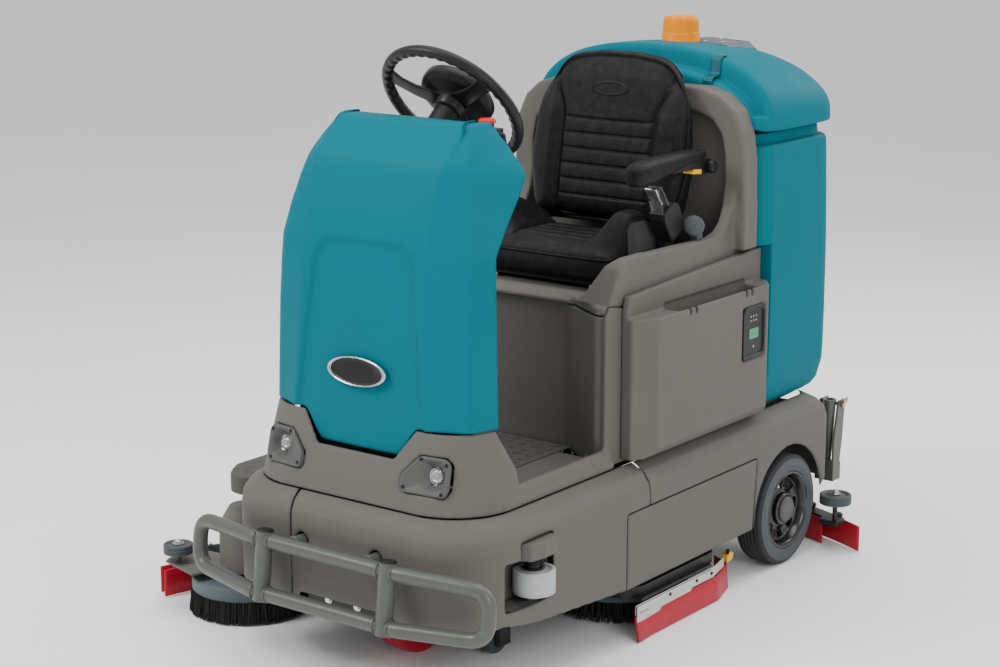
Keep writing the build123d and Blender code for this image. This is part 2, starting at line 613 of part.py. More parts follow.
def build_scrub_head():
    deck = block(-404, 404, SCRUB_Y - 215, SCRUB_Y + 215, 118, 130)
    deck = fillet(deck.edges().filter_by(Axis.Z), 60)
    skirt = ring_wall(fillet(flat([
        (-404, SCRUB_Y - 215), (404, SCRUB_Y - 215), (404, SCRUB_Y + 215),
        (-404, SCRUB_Y + 215)]).vertices(), 60), 3, 100, 119)
    shelf = block(398, 422, 400, 740, 100, 108)
    deck = deck + skirt
    for sign in (-1, 1):
        x = sign * 205
        deck += rod((x, SCRUB_Y, 128), (x, SCRUB_Y, 300), 58)
        deck -= rod((x, SCRUB_Y, 100), (x, SCRUB_Y, 140), 20.06)
        disc = rod((x, SCRUB_Y, 60), (x, SCRUB_Y, 78), DISC_R - 4)
        disc += rod((x, SCRUB_Y, 76), (x, SCRUB_Y, 138), 20)
        bristles = rod((x, SCRUB_Y, 3), (x, SCRUB_Y, 61), DISC_R)
        bristles -= rod((x, SCRUB_Y, 0), (x, SCRUB_Y, 60), 110)
        name = "left" if sign > 0 else "right"
        save(f"disc_brush_{name}", disc + bristles)
    deck = deck + shelf + mirrored(shelf)
    save("scrub_deck", deck)
    path = squeegee_path()
    blade = extrude(trace(path, 5), 66)
    blade = Pos(0, 0, 3) * blade
    strap_path = FilletPolyline((423, 364), (423, 740), (400, 830), radius=[90])
    strap = Pos(0, 0, 69.5) * extrude(trace(strap_path, 8), 30)
    latch = block(372, 392, 878, 900, 70, 92)
    left = group([blade, strap, latch])
    save("side_squeegees", group([left, mirrored(left)]))


# ---------------------------------------------------------------- side brush
def build_side_brush():
    cx, cy = SIDE_BRUSH
    housing = rod((cx, cy, 112), (cx, cy, 235), 76)
    dome = Plane.XY.offset(235) * Circle(76)
    dome_top = Plane.XY.offset(285) * Circle(48)
    housing = housing + Pos(cx, cy, 0) * loft([dome, dome_top])
    housing -= rod((cx, cy, 100), (cx, cy, 140), 14.06)
    px, pz = SIDE_ARM_PIVOT
    arm = plan(flat([(cx + 30, cy - 40), (px, 25), (px, 95), (cx + 30, cy + 60)]), 113, 127)
    knuckle = rod((px, 24, pz), (px, 96, pz), 5)
    reach = plan(flat([
        (-745, -140), (-735, -162), (-600, -198), (-560, -100), (-600, -20), (-750, -40)]), 118, 126)
    pin = rod((-701, -146, 120), (-701, -146, 182), 6)
    save("side_brush_arm", housing + arm + knuckle + reach + pin)
    disc = rod((cx, cy, 62), (cx, cy, 100), 150) + rod((cx, cy, 98), (cx, cy, 138), 14)
    bristles = rod((cx, cy, 3), (cx, cy, 63), 160) - rod((cx, cy, 0), (cx, cy, 62), 112)
    save("side_brush", disc + bristles)
    near = [(-779, -126), (-752, -20), (-700, 90), (-600, 165), (-470, 185)]
    far = [(-812, -108), (-779, -12), (-722, 106), (-610, 187), (-474, 207)]
    rail = [(-782, -88), (-766, -16), (-711, 98), (-605, 176), (-480, 195)]
    strips = []
    for points, width, z0, z1 in ((near, 4, 3, 78), (far, 4, 3, 78), (rail, 10, 60, 117.5)):
        path = FilletPolyline(*points, radius=60)
        strips.append(Pos(0, 0, z0) * extrude(trace(path, width), z1 - z0))
    save("side_blade", group(strips))
    roller = rod((-701, -146, 150), (-701, -146, 176), 40)
    roller -= rod((-701, -146, 140), (-701, -146, 190), 6.06)
    save("side_roller", roller)


# ---------------------------------------------------------------- rear squeegee
def arc_band(inner_shift, outer_shift, half, z0, z1):
    """Curved band across the back, between two radii of the squeegee's arc."""
    sagitta = 133.0
    radius = (SQUEEGEE_HALF ** 2 + sagitta ** 2) / (2 * sagitta)
    centre_y = SQUEEGEE_CROWN_Y - radius
    angle = math.asin(half / radius)

    def arc(shift):
        r = radius + shift
        end_x, end_y = r * math.sin(angle), centre_y + r * math.cos(angle)
        return ThreePointArc((-end_x, end_y), (0, centre_y + r), (end_x, end_y))

    near = arc(inner_shift)
    far = arc(outer_shift)
    ends = [Line(near @ 0, far @ 0), Line(near @ 1, far @ 1)]
    return plan(make_face([near, far, *ends]), z0, z1)


def build_rear_squeegee():
    casting = arc_band(-36, 4, 470, 62, 84)
    for x in range(-420, 421, 60):
        y = SQUEEGEE_CROWN_Y - 133 * (x / SQUEEGEE_HALF) ** 2
        casting += block(x - 3, x + 3, y - 28, y - 8, 50, 62.5)
    arm = side(flat([(1350, 203), (1374, 226), (1470, 110), (1470, 80), (1440, 80)]), 26, 56)
    casting += arm + mirrored(arm)
    py, pz = SQUEEGEE_PIVOT
    casting += rod((-56, py, pz), (56, py, pz), 6)
    for sign in (-1, 1):
        casting += block(*sorted((sign * 440, sign * 496)), 1300, 1350, 80, 96)
        casting += rod((sign * 484, 1314, 90), (sign * 484, 1314, 184), 7)
    save("squeegee_casting", casting)
    blades = group([
        arc_band(5, 10, SQUEEGEE_HALF, 3, 78),
        arc_band(-42, -37, SQUEEGEE_HALF - 105, 3, 78)])
    save("squeegee_blades", blades)
    for name, sign in (("left", 1), ("right", -1)):
        roller = rod((sign * 484, 1314, 147), (sign * 484, 1314, 175), 46)
        roller -= rod((sign * 484, 1314, 140), (sign * 484, 1314, 190), 7.06)
        save(f"squeegee_roller_{name}", roller)


def build_rear_holder():
    """Two ear plates with a cross bolt and a tapered open tube at the rear left corner."""
    ear = flat([(1402, 232), (1402, 300), (1425, 418), (1462, 418), (1452, 300), (1440, 232)])
    plates = side(ear, 366, 372) + side(ear, 420, 426)
    plates += block(366, 426, 1401.5, 1408, 200, 240) + block(366, 426, 1401.5, 1446, 180, 232)
    bolt = rod((360, 1443, 405), (432, 1443, 405), 5)
    plates -= bolt
    taper = Plane.XY.offset(234) * Circle(9)
    mouth = Plane.XY.offset(420) * Circle(19)
    holder = Pos(396, 1424, 0) * loft([taper, mouth])
    holder -= rod((396, 1424, 300), (396, 1424, 421), 12)
    save("rear_brackets", group([plates, bolt, holder - bolt]))


def build_side_step():
    """Oval tread pad over the side brush, bolted to the flank."""
    outline = [(-426, -150), (-515, -135), (-562, -60), (-562, 100), (-515, 180), (-426, 200)]
    pad = plan(flat(outline, 48), 376, 402)
    foot = plan(flat([(-426, -40), (-470, -40), (-470, 140), (-426, 140)]), 345, 377)
    rim = ring_wall(flat(outline, 48), 10, 352, 377)
    studs = []
    for row in range(7):
        for col in range(3):
            x, y = -532 + 34 * col + 17 * (row % 2), -92 + 37 * row
            studs.append(rod((x, y, 401), (x, y, 405), 8))
    save("side_step", pad + foot + rim + studs)


build_lower_body()
build_upper_body()
build_step_mat()
build_cowl()
build_steering()
build_console()
build_pedals()
build_headlights()
build_side_step()
build_bumper()
build_corner_roller()
build_support_wheels()
build_chassis()
build_drive()
build_rear_wheels()
build_seat_deck()
build_seat()
build_seat_back()
build_pods()
build_doors()
build_tank()
build_lid()
build_batteries()
build_scrub_head()
build_side_brush()
build_rear_squeegee()
build_rear_holder()
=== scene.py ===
"""Looks for the ride-on floor scrubber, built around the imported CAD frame."""
import bpy
import bmesh
import json
import random
from math import asin, atan2, copysign, cos, exp, hypot, pi, radians, sin, sqrt, tan
from mathutils import Matrix, Vector


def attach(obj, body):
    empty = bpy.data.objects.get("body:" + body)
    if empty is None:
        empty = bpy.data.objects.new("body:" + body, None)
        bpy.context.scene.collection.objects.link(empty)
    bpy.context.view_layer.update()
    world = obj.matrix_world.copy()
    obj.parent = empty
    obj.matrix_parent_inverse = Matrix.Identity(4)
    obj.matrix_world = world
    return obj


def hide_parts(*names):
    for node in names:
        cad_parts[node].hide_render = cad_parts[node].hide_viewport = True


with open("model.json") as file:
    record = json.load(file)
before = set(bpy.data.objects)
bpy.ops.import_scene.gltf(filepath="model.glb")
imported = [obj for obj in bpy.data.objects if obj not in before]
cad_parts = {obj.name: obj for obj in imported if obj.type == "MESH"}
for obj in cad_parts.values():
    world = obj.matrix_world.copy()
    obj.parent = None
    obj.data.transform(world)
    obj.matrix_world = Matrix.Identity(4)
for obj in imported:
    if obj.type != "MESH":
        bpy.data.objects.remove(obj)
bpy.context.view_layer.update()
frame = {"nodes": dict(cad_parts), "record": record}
NODES = frame["nodes"]
BODY_OF = {n: b for b, ns in frame["record"]["behaviour"]["bodies"].items() for n in ns}
SLOT_OF = {s["node"]: s["material_slot"] for s in frame["record"]["subparts"]}

# ---------------------------------------------------------------- places the frame gives, in mm
UP, LEFT = (0, 0, 1), (1, 0, 0)
REAR_AXLE_Y, REAR_AXLE_Z = 1146, 158.5
REAR_HUB_X = 336.5                  # inner face of a rear wheel
DRIVE_AXLE_Z = 126.5
STEER_TILT = radians(50)
CORNER_ROLLER = (410, -54)
SIDE_ROLLER = (-701, -146)
SUPPORT_WHEEL = (177, 92, 42)
BUMPER_POST = ((196, -361, 188), (196, -340, 363))
BEACON = (2, 1200)
SQUEEGEE_HALF, SQUEEGEE_SAG, SQUEEGEE_CROWN_Y = 540, 133, 1478
ARMREST_PIN = (236, 880, 1160)
BACK_MIDDLE_Z, CUSHION_MIDDLE_Y = 1200, 655
COWL_TOP = 1347

# ---------------------------------------------------------------- camera
cam_data = bpy.data.cameras.new("camera")
cam_data.lens = 76.97
cam_data.sensor_width = 36
camera = bpy.data.objects.new("camera", cam_data)
camera.location = (3.2702, -3.9690, 2.0020)
camera.rotation_euler = (radians(90 - 12.935), 0, radians(37.112))
bpy.context.scene.collection.objects.link(camera)
bpy.context.scene.camera = camera


# ---------------------------------------------------------------- materials
class Graph:
    """Small builder for one material's nodes."""

    def __init__(self, name):
        self.mat = bpy.data.materials.new(name)
        self.mat.use_nodes = True
        self.nodes = self.mat.node_tree.nodes
        self.links = self.mat.node_tree.links
        self.shader = next(n for n in self.nodes if n.type == "BSDF_PRINCIPLED")
        self.space = self.add("ShaderNodeTexCoord").outputs["Object"]

    def add(self, kind, **values):
        node = self.nodes.new(kind)
        for key, value in values.items():
            setattr(node, key, value)
        return node

    def put(self, socket, value):
        """Link an output, or set a constant, on an input socket."""
        if isinstance(value, bpy.types.NodeSocket):
            self.links.new(value, socket)
        else:
            socket.default_value = value

    def noise(self, scale, detail=3.0, rough=0.5, space=None):
        """Fractal noise, in the object's own coordinates unless a space is given."""
        node = self.add("ShaderNodeTexNoise")
        self.put(node.inputs["Vector"], space or self.space)
        for key, value in (("Scale", scale), ("Detail", detail), ("Roughness", rough)):
            node.inputs[key].default_value = value
        return node.outputs["Fac"]

    def cells(self, scale, feature="F1", space=None):
        node = self.add("ShaderNodeTexVoronoi", feature=feature)
        self.put(node.inputs["Vector"], space or self.space)
        node.inputs["Scale"].default_value = scale
        return node.outputs["Distance"]

    def turned(self, angles):
        """The object's coordinates, turned by three angles."""
        node = self.add("ShaderNodeMapping")
        self.put(node.inputs["Vector"], self.space)
        node.inputs["Rotation"].default_value = angles
        return node.outputs["Vector"]

    def drift(self, value, low, high, most, a, b):
        """Colour that moves from a towards b as a value rises from low to high."""
        return self.mix(self.remap(value, low, high, 0, most), a, b)

    def math(self, op, a, b):
        node = self.add("ShaderNodeMath", operation=op)
        self.put(node.inputs[0], a)
        self.put(node.inputs[1], b)
        return node.outputs[0]

    def remap(self, value, low, high, out_low, out_high):
        node = self.add("ShaderNodeMapRange")
        self.put(node.inputs[0], value)
        for i, v in enumerate((low, high, out_low, out_high)):
            node.inputs[i + 1].default_value = v
        return node.outputs[0]

    def mix(self, fac, a, b):
        node = self.add("ShaderNodeMix", data_type="RGBA")
        self.put(node.inputs["Factor"], fac)
        for socket, value in ((node.inputs[6], a), (node.inputs[7], b)):
            self.put(socket, value if isinstance(value, bpy.types.NodeSocket) else (*value, 1))
        return node.outputs[2]

    def stretched(self, scale):
        node = self.add("ShaderNodeMapping")
        self.put(node.inputs["Vector"], self.space)
        node.inputs["Scale"].default_value = scale
        return node.outputs["Vector"]

    def bump(self, height, strength, distance, below=None):
        node = self.add("ShaderNodeBump")
        self.put(node.inputs["Height"], height)
        node.inputs["Strength"].default_value = strength
        node.inputs["Distance"].default_value = distance
        if below is not None:
            self.put(node.inputs["Normal"], below)
        return node.outputs["Normal"]

    def soft_edges(self, radius):
        node = self.add("ShaderNodeBevel", samples=4)
        node.inputs["Radius"].default_value = radius
        return node.outputs["Normal"]

    def surface(self, colour, rough, normal=None, **constants):
        self.put(self.shader.inputs["Base Color"], colour if isinstance(colour, bpy.types.NodeSocket)
            else (*colour, 1))
        self.put(self.shader.inputs["Roughness"], rough)
        if normal is not None:
            self.put(self.shader.inputs["Normal"], normal)
        for key, value in constants.items():
            self.shader.inputs[key.replace("_", " ")].default_value = value
        return self.mat


def shade(colour, factor, lift=0.0):
    """A colour made darker or lighter, kept within range."""
    return tuple(min(1, c * factor + lift) for c in colour)


def moulded(name, colour, rough, grain=0.0004, scale=900.0, edge=0.003, mottle=0.10, gloss=0.22):
    """Moulded plastic: fine texture, slight colour drift, scuffed high spots."""
    g = Graph(name)
    drift = g.noise(3.0, 4.0)
    fine = g.noise(scale, 2.0, 0.6)
    dark = shade(colour, 1 - mottle)
    light = shade(colour, 1 + mottle)
    tint = g.drift(drift, 0.3, 0.7, 1, dark, light)
    speck = g.drift(fine, 0.35, 0.75, 0.35, tint, shade(colour, 1.35))
    smudge = g.noise(14.0, 5.0, 0.6)
    roughness = g.remap(smudge, 0.3, 0.7, rough - 0.05, rough + 0.07)
    normal = g.bump(fine, 0.35, grain, g.soft_edges(edge))
    return g.surface(speck, roughness, normal, Specular_IOR_Level=gloss)


def painted(name, colour, rough, edge=0.002):
    """Powder coat: orange peel, slightly worn where it is handled."""
    g = Graph(name)
    peel = g.noise(420.0, 2.0)
    wear = g.noise(35.0, 6.0, 0.65)
    tint = g.drift(wear, 0.62, 0.74, 0.35, colour, shade(colour, 1.6, 0.03))
    roughness = g.remap(wear, 0.3, 0.7, rough - 0.06, rough + 0.08)
    return g.surface(tint, roughness, g.bump(peel, 0.25, 0.0003, g.soft_edges(edge)),
        Specular_IOR_Level=0.35)


def metal(name, colour, rough, direction=(4, 4, 900)):
    """Brushed or plated metal with fine drawn lines."""
    g = Graph(name)
    lines = g.noise(1.0, 3.0, 0.6, g.stretched(direction))
    stain = g.noise(18.0, 5.0)
    tint = g.drift(stain, 0.35, 0.7, 0.5, colour, shade(colour, 0.72))
    roughness = g.remap(lines, 0.3, 0.7, rough - 0.06, rough + 0.1)
    return g.surface(tint, roughness, g.bump(lines, 0.15, 0.0002, g.soft_edges(0.001)), Metallic=1.0)


def rubbery(name, colour, rough, sheen=0.02, scale=260.0, subsurface=0.0):
    """Cast rubber or urethane: dusty, softly mottled."""
    g = Graph(name)
    dust = g.noise(26.0, 6.0, 0.62)
    fine = g.noise(scale, 3.0)
    tint = g.drift(dust, 0.42, 0.72, 0.4, colour, shade(colour, 1.2, 0.008))
    roughness = g.remap(dust, 0.3, 0.7, rough - 0.06, rough + 0.1)
    return g.surface(tint, roughness, g.bump(fine, 0.3, 0.0004, g.soft_edges(0.002)), Sheen_Weight=sheen,
        Subsurface_Weight=subsurface, Specular_IOR_Level=0.25)


def vinyl(name, colour, perforated=False):
    """Seat vinyl: cell grain, creases, and rows of small holes on the bolsters."""
    g = Graph(name)
    grain = g.cells(520.0, "DISTANCE_TO_EDGE")
    creases = g.noise(46.0, 4.0, 0.6)
    tint = g.drift(creases, 0.4, 0.7, 1, colour, shade(colour, 1.5, 0.004))
    roughness = g.remap(g.noise(60.0, 3.0), 0.3, 0.7, 0.40, 0.54)
    normal = g.bump(g.remap(grain, 0.0, 0.12, 0, 1), 0.35, 0.0004)
    normal = g.bump(creases, 0.12, 0.002, normal)
    if perforated:
        holes = g.cells(150.0, "F1", g.turned((0.6, 0.6, 0.785)))
        pit = g.remap(holes, 0.16, 0.26, 0, 1)
        normal = g.bump(pit, 0.7, 0.0012, normal)
        # The holes are also coloured darker: painted shade inside them.
        tint = g.mix(pit, shade(colour, 0.4), tint)
    return g.surface(tint, roughness, normal, Sheen_Weight=0.0, Specular_IOR_Level=0.13)


MAT = {
    "teal": moulded("teal_plastic", (0.0, 0.120, 0.158), 0.50, 0.00015, 700.0, 0.006, 0.04, 0.04),
    "grey": moulded("grey_plastic", (0.098, 0.093, 0.083), 0.62, 0.0006, 620.0, 0.006, 0.06, 0.2),
    "teal_dark": moulded("teal_strap", (0.0, 0.070, 0.092), 0.4, 0.00015, 700.0, 0.002, 0.05),
    "gloss_black": moulded("gloss_black", (0.008, 0.008, 0.009), 0.2, 0.0001, 500.0, 0.002, 0.2, 0.6),
    "dark": moulded("dark_plastic", (0.011, 0.011, 0.012), 0.38, 0.0003, 800.0, 0.002, 0.15),
    "bezel": moulded("bezel_plastic", (0.074, 0.077, 0.073), 0.42, 0.0003, 700.0, 0.003, 0.05),
    "beacon_grey": moulded("blue_grey_plastic", (0.075, 0.095, 0.108), 0.5, 0.0006, 500.0, 0.006, 0.06),
    "battery": moulded("battery_plastic", (0.03, 0.03, 0.034), 0.5),
    "red_button": moulded("red_plastic", (0.62, 0.012, 0.010), 0.25, 0.0001),
    "yellow": moulded("yellow_plastic", (0.72, 0.40, 0.02), 0.4),
    "frame_paint": painted("frame_paint", (0.071, 0.077, 0.066), 0.33),
    "black_paint": painted("black_paint", (0.010, 0.010, 0.011), 0.45),
    "steel": metal("zinc_steel", (0.62, 0.62, 0.60), 0.32),
    "brass": metal("brass", (0.70, 0.50, 0.20), 0.34),
    "chrome": metal("chrome", (0.80, 0.80, 0.80), 0.12),
    "red_urethane": rubbery("red_urethane", (0.36, 0.007, 0.022), 0.42, 0.02, 200.0, 0.05),
    "tyre_grey": rubbery("tyre_grey", (0.055, 0.065, 0.071), 0.62),
    "tread": rubbery("tread_dark", (0.022, 0.024, 0.026), 0.72),
    "white_roller": rubbery("white_roller", (0.36, 0.37, 0.37), 0.45),
    "grey_roller": rubbery("grey_roller", (0.050, 0.060, 0.066), 0.5),
    "mat": rubbery("step_rubber", (0.066, 0.063, 0.058), 0.7),
    "bristle": rubbery("bristle", (0.008, 0.007, 0.007), 0.55, 0.05),
    "vinyl": vinyl("black_vinyl", (0.0055, 0.0055, 0.0065)),
    "vinyl_holes": vinyl("perforated_vinyl", (0.0052, 0.0052, 0.0060), True),
}


def glassy(name, colour, rough, transmission, glow=0.0, gloss=0.5):
    g = Graph(name)
    ripples = g.noise(90.0, 2.0)
    mat = g.surface(g.drift(ripples, 0.3, 0.7, 1, colour, shade(colour, 0.85)), g.remap(ripples, 0.3, 0.7,
        rough, rough + 0.06), g.bump(ripples, 0.2, 0.0005), Transmission_Weight=transmission, IOR=1.49,
        Specular_IOR_Level=gloss)
    if glow:
        g.shader.inputs["Emission Color"].default_value = (*colour, 1)
        g.shader.inputs["Emission Strength"].default_value = glow
    return mat


MAT["lens"] = glassy("clear_lens", (0.62, 0.64, 0.60), 0.06, 0.75)
MAT["amber"] = glassy("amber_lens", (0.72, 0.22, 0.0), 0.3, 0.0, 0.12, 0.08)
MAT["badge"] = MAT["dark"]


def woven(name, colour, pitch, rough):
    """Woven tape or net: crossed threads."""
    g = Graph(name)
    wave = []
    for turn in (0.785, -0.785):
        lines = g.add("ShaderNodeTexWave", bands_direction="Z")
        g.put(lines.inputs["Vector"], g.turned((turn, 0.0, 0.0)))
        lines.inputs["Scale"].default_value = 1 / pitch
        lines.inputs["Distortion"].default_value = 0.2
        wave.append(lines.outputs["Fac"])
    height = g.math("MAXIMUM", *wave)
    # Darker where the threads dip: painted shade between them.
    tint = g.drift(height, 0.3, 0.9, 1, shade(colour, 0.25), colour)
    return g.surface(tint, g.remap(g.noise(40.0), 0.3, 0.7, rough - 0.05, rough + 0.05), g.bump(height, 0.8,
        0.0012), Sheen_Weight=0.3)


MAT["display"] = glassy("green_display", (0.01, 0.22, 0.10), 0.25, 0.0, 0.15)
MAT["lamp_dots"] = painted("pale_marks", (0.45, 0.45, 0.45), 0.4)
MAT["webbing"] = woven("belt_webbing", (0.03, 0.03, 0.033), 0.012, 0.7)
MAT["pocket"] = woven("net_pocket", (0.028, 0.028, 0.03), 0.022, 0.75)

for name, node in NODES.items():
    node.data.materials.clear()
    node.data.materials.append(MAT[SLOT_OF[name]])


# ---------------------------------------------------------------- mesh helpers
def link(name, mesh, material, body, stands_for=(), smooth=True):
    """Make a shown piece from a mesh, in millimetres scaled to metres by its maker."""
    if smooth:
        mesh.shade_smooth()
    piece = bpy.data.objects.new(name, mesh)
    bpy.context.scene.collection.objects.link(piece)
    for m in (material if isinstance(material, (list, tuple)) else [material]):
        mesh.materials.append(MAT[m])
    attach(piece, body)
    if stands_for:
        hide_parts(*stands_for)
    return piece


def from_bmesh(name, bm, material, body, stands_for=(), smooth=True, weld=True):
    if weld:
        bmesh.ops.remove_doubles(bm, verts=bm.verts, dist=2e-6)
    bmesh.ops.recalc_face_normals(bm, faces=bm.faces)
    mesh = bpy.data.meshes.new(name)
    bm.to_mesh(mesh)
    bm.free()
    return link(name, mesh, material, body, stands_for, smooth)


def stand_in(name, bm, material, node, smooth=True):
    """A piece shown in place of a CAD node, on that node's body."""
    return from_bmesh(name, bm, material, BODY_OF[node], (node,), smooth)


def extra(name, bm, material, body, smooth=True):
    """A piece that stands for no CAD node."""
    piece = from_bmesh(name, bm, material, body, (), smooth)
    return piece


def relaxed(piece, rounds):
    relax = piece.modifiers.new("relax", "SMOOTH")
    relax.factor = 0.5
    relax.iterations = rounds


def add_grid(bm, rows, closed=False, material=0):
    """Quads over rows of points (mm); closed joins each row's end to its start."""
    grid = [[bm.verts.new(Vector(p) / 1000) for p in row] for row in rows]
    for a, b in zip(grid, grid[1:]):
        count = len(a)
        for i in range(count if closed else count - 1):
            j = (i + 1) % count
            bm.faces.new((a[i], a[j], b[j], b[i])).material_index = material
    return grid


def add_loft(bm, sections):
    """Closed solid through rings of points, its first and last ring capped."""
    grid = add_grid(bm, sections, True)
    bm.faces.new(grid[0][::-1])
    bm.faces.new(grid[-1])


def frame_for(direction):
    d = Vector(direction).normalized()
    u = d.orthogonal().normalized()
    return d, u, d.cross(u)


def angles(steps):
    return [2 * pi * k / steps for k in range(steps)]


def add_lathe(bm, profile, start, direction, steps=48, ring=None):
    """Turn a profile of (radius, distance) pairs about an axis; ring(r, a, t) may change a radius."""
    d, u, v = frame_for(direction)
    rows = []
    for r, t in profile:
        rows.append([Vector(start) + d * t + (u * cos(a) + v * sin(a)) * (ring(r, a, t) if ring else r)
            for a in angles(steps)])
    add_grid(bm, rows, True)


def add_drum(bm, radius, height, start, direction, steps):
    """Plain round disc or pin."""
    add_lathe(bm, [(0.1, 0), (radius, 0), (radius, height), (0.1, height)], start, direction, steps)


def add_tube(bm, path, radius, steps=16, closed=False):
    """Round tube along a list of points; radius may be a number or one value per point."""
    pts = [Vector(p) for p in path]
    count = len(pts)
    u = None
    rows = []
    for i, p in enumerate(pts):
        if closed:
            d = pts[(i + 1) % count] - pts[i - 1]
        else:
            d = pts[min(i + 1, count - 1)] - pts[max(i - 1, 0)]
        d.normalize()
        u = d.orthogonal().normalized() if u is None else (u - d * u.dot(d)).normalized()
        v = d.cross(u)
        r = radius[i] if isinstance(radius, (list, tuple)) else radius
        rows.append([p + (u * cos(a) + v * sin(a)) * r for a in angles(steps)])
    if closed:
        add_grid(bm, rows + [rows[0]], True)
    else:
        add_loft(bm, rows)


def rounded(points, radii, steps=6):
    """A closed outline with each corner turned into an arc of the same number of points."""
    out = []
    count = len(points)
    for i, p in enumerate(points):
        p, a, b = Vector(p), Vector(points[i - 1]), Vector(points[(i + 1) % count])
        da, db = (a - p), (b - p)
        r = radii[i] if isinstance(radii, (list, tuple)) else radii
        half = da.angle(db) / 2
        cut = min(r / tan(half), da.length * 0.49, db.length * 0.49)
        start, end = p + da.normalized() * cut, p + db.normalized() * cut
        for k in range(steps + 1):
            t = k / steps
            out.append(start * (1 - t) ** 2 + p * 2 * t * (1 - t) + end * t * t)
    return out


def pane(u0, u1, v0, v1, radius, steps=6):
    """Rectangle with rounded corners."""
    return rounded([(u0, v0), (u1, v0), (u1, v1), (u0, v1)], radius, steps)


def even(outline, count):
    """The same closed outline with its points spread evenly along it."""
    pts = list(outline) + [outline[0]]
    run = [0.0]
    for a, b in zip(pts, pts[1:]):
        run.append(run[-1] + (b - a).length)
    out, k = [], 0
    for i in range(count):
        at = run[-1] * i / count
        while run[k + 1] < at:
            k += 1
        out.append(pts[k].lerp(pts[k + 1], (at - run[k]) / max(run[k + 1] - run[k], 1e-9)))
    return out


def bent(points, radii, steps=8):
    """An open path with arcs at its inner corners."""
    out = [Vector(points[0])]
    for i in range(1, len(points) - 1):
        p, a, b = Vector(points[i]), Vector(points[i - 1]), Vector(points[i + 1])
        da, db = a - p, b - p
        r = radii[i - 1] if isinstance(radii, (list, tuple)) else radii
        cut = min(r / tan(da.angle(db) / 2), da.length * 0.49, db.length * 0.49)
        start, end = p + da.normalized() * cut, p + db.normalized() * cut
        out += [start * (1 - k / steps) ** 2 + p * 2 * (k / steps) * (1 - k / steps) + end
            * (k / steps) ** 2 for k in range(steps + 1)]
    out.append(Vector(points[-1]))
    return out


def add_slab(bm, outline, low, high, place, edge=1.5):
    """Prism of a 2D outline with eased edges; place(u, v, w) gives the point in mm."""
    centre = sum(outline, Vector((0, 0))) / len(outline)

    def ring(shrink, w):
        return [place(*(p + (centre - p).normalized() * shrink), w) for p in outline]

    add_loft(bm, [ring(edge, low), ring(edge * 0.3, low + edge * 0.3), ring(0, low + edge),
        ring(0, high - edge), ring(edge * 0.3, high - edge * 0.3), ring(edge, high)])


def span(sign, near, far):
    """Low and high X of a slab that lies between two distances from the middle, on one side."""
    return sorted((sign * near, sign * far))


def on_plan(u, v, w):
    return Vector((u, v, w))


def on_side(u, v, w):
    return Vector((w, u, v))


def on_front(u, v, w):
    return Vector((u, w, v))


def spline(rows, x):
    """Catmull-Rom through (x, values) rows."""
    i = max(k for k in range(len(rows) - 1) if k == 0 or rows[k][0] <= x)
    p1, p2 = rows[i], rows[i + 1]
    p0 = rows[max(i - 1, 0)]
    p3 = rows[min(i + 2, len(rows) - 1)]
    t = min(1.0, max(0.0, (x - p1[0]) / (p2[0] - p1[0])))
    out = []
    for a, b, c, d in zip(p0[1:], p1[1:], p2[1:], p3[1:]):
        m1, m2 = (c - a) / 2, (d - b) / 2
        out.append(b * (2 * t ** 3 - 3 * t * t + 1) + m1 * (t ** 3 - 2 * t * t + t) + c * (3 * t * t - 2
            * t ** 3) + m2 * (t ** 3 - t * t))
    return out


def between(rows, x):
    """Straight-line values of a table of rows at x."""
    for low, high in zip(rows, rows[1:]):
        if x <= high[0]:
            break
    t = min(1.0, max(0.0, (x - low[0]) / (high[0] - low[0])))
    return [a + (b - a) * t for a, b in zip(low[1:], high[1:])]


def smoothstep(a, b, x):
    t = min(1.0, max(0.0, (x - a) / (b - a)))
    return t * t * (3 - 2 * t)


def bell(x, width):
    return exp(-(x / width) ** 2)


def thicken(piece, thickness, offset=-1.0):
    """Give a sheet its wall, as real mesh."""
    mod = piece.modifiers.new("wall", "SOLIDIFY")
    mod.thickness = thickness
    mod.offset = offset
    mod.use_rim = True
    return piece


def softened(node, voxel, rounds, keep=0.3, material=None):
    """A CAD solid with all its corners rounded off, as a rotomoulded part has them."""
    body = BODY_OF[node]
    piece = link(node + "_moulded", NODES[node].data.copy(), material or SLOT_OF[node], body, (node,))
    while len(piece.data.materials) > 1:
        piece.data.materials.pop(index=0)
    remesh = piece.modifiers.new("remesh", "REMESH")
    remesh.mode = "VOXEL"
    remesh.voxel_size = voxel
    remesh.use_smooth_shade = True
    relaxed(piece, rounds)
    thin = piece.modifiers.new("thin", "DECIMATE")
    thin.ratio = keep
    shown = piece.evaluated_get(bpy.context.evaluated_depsgraph_get())
    mesh = bpy.data.meshes.new_from_object(shown)
    mesh.shade_smooth()
    piece.modifiers.clear()
    piece.data = mesh
    return piece


# ---------------------------------------------------------------- moulded grey shells
for shell in ("upper_body", "seat_deck", "lower_body_front", "front_access_panel", "lower_body_rear"):
    softened(shell, 0.004, 10)
for shell in ("pod_left", "pod_right", "roller_bracket", "door_left", "door_right"):
    softened(shell, 0.003, 6)
softened("beacon_base", 0.003, 8, 0.4, "beacon_grey")


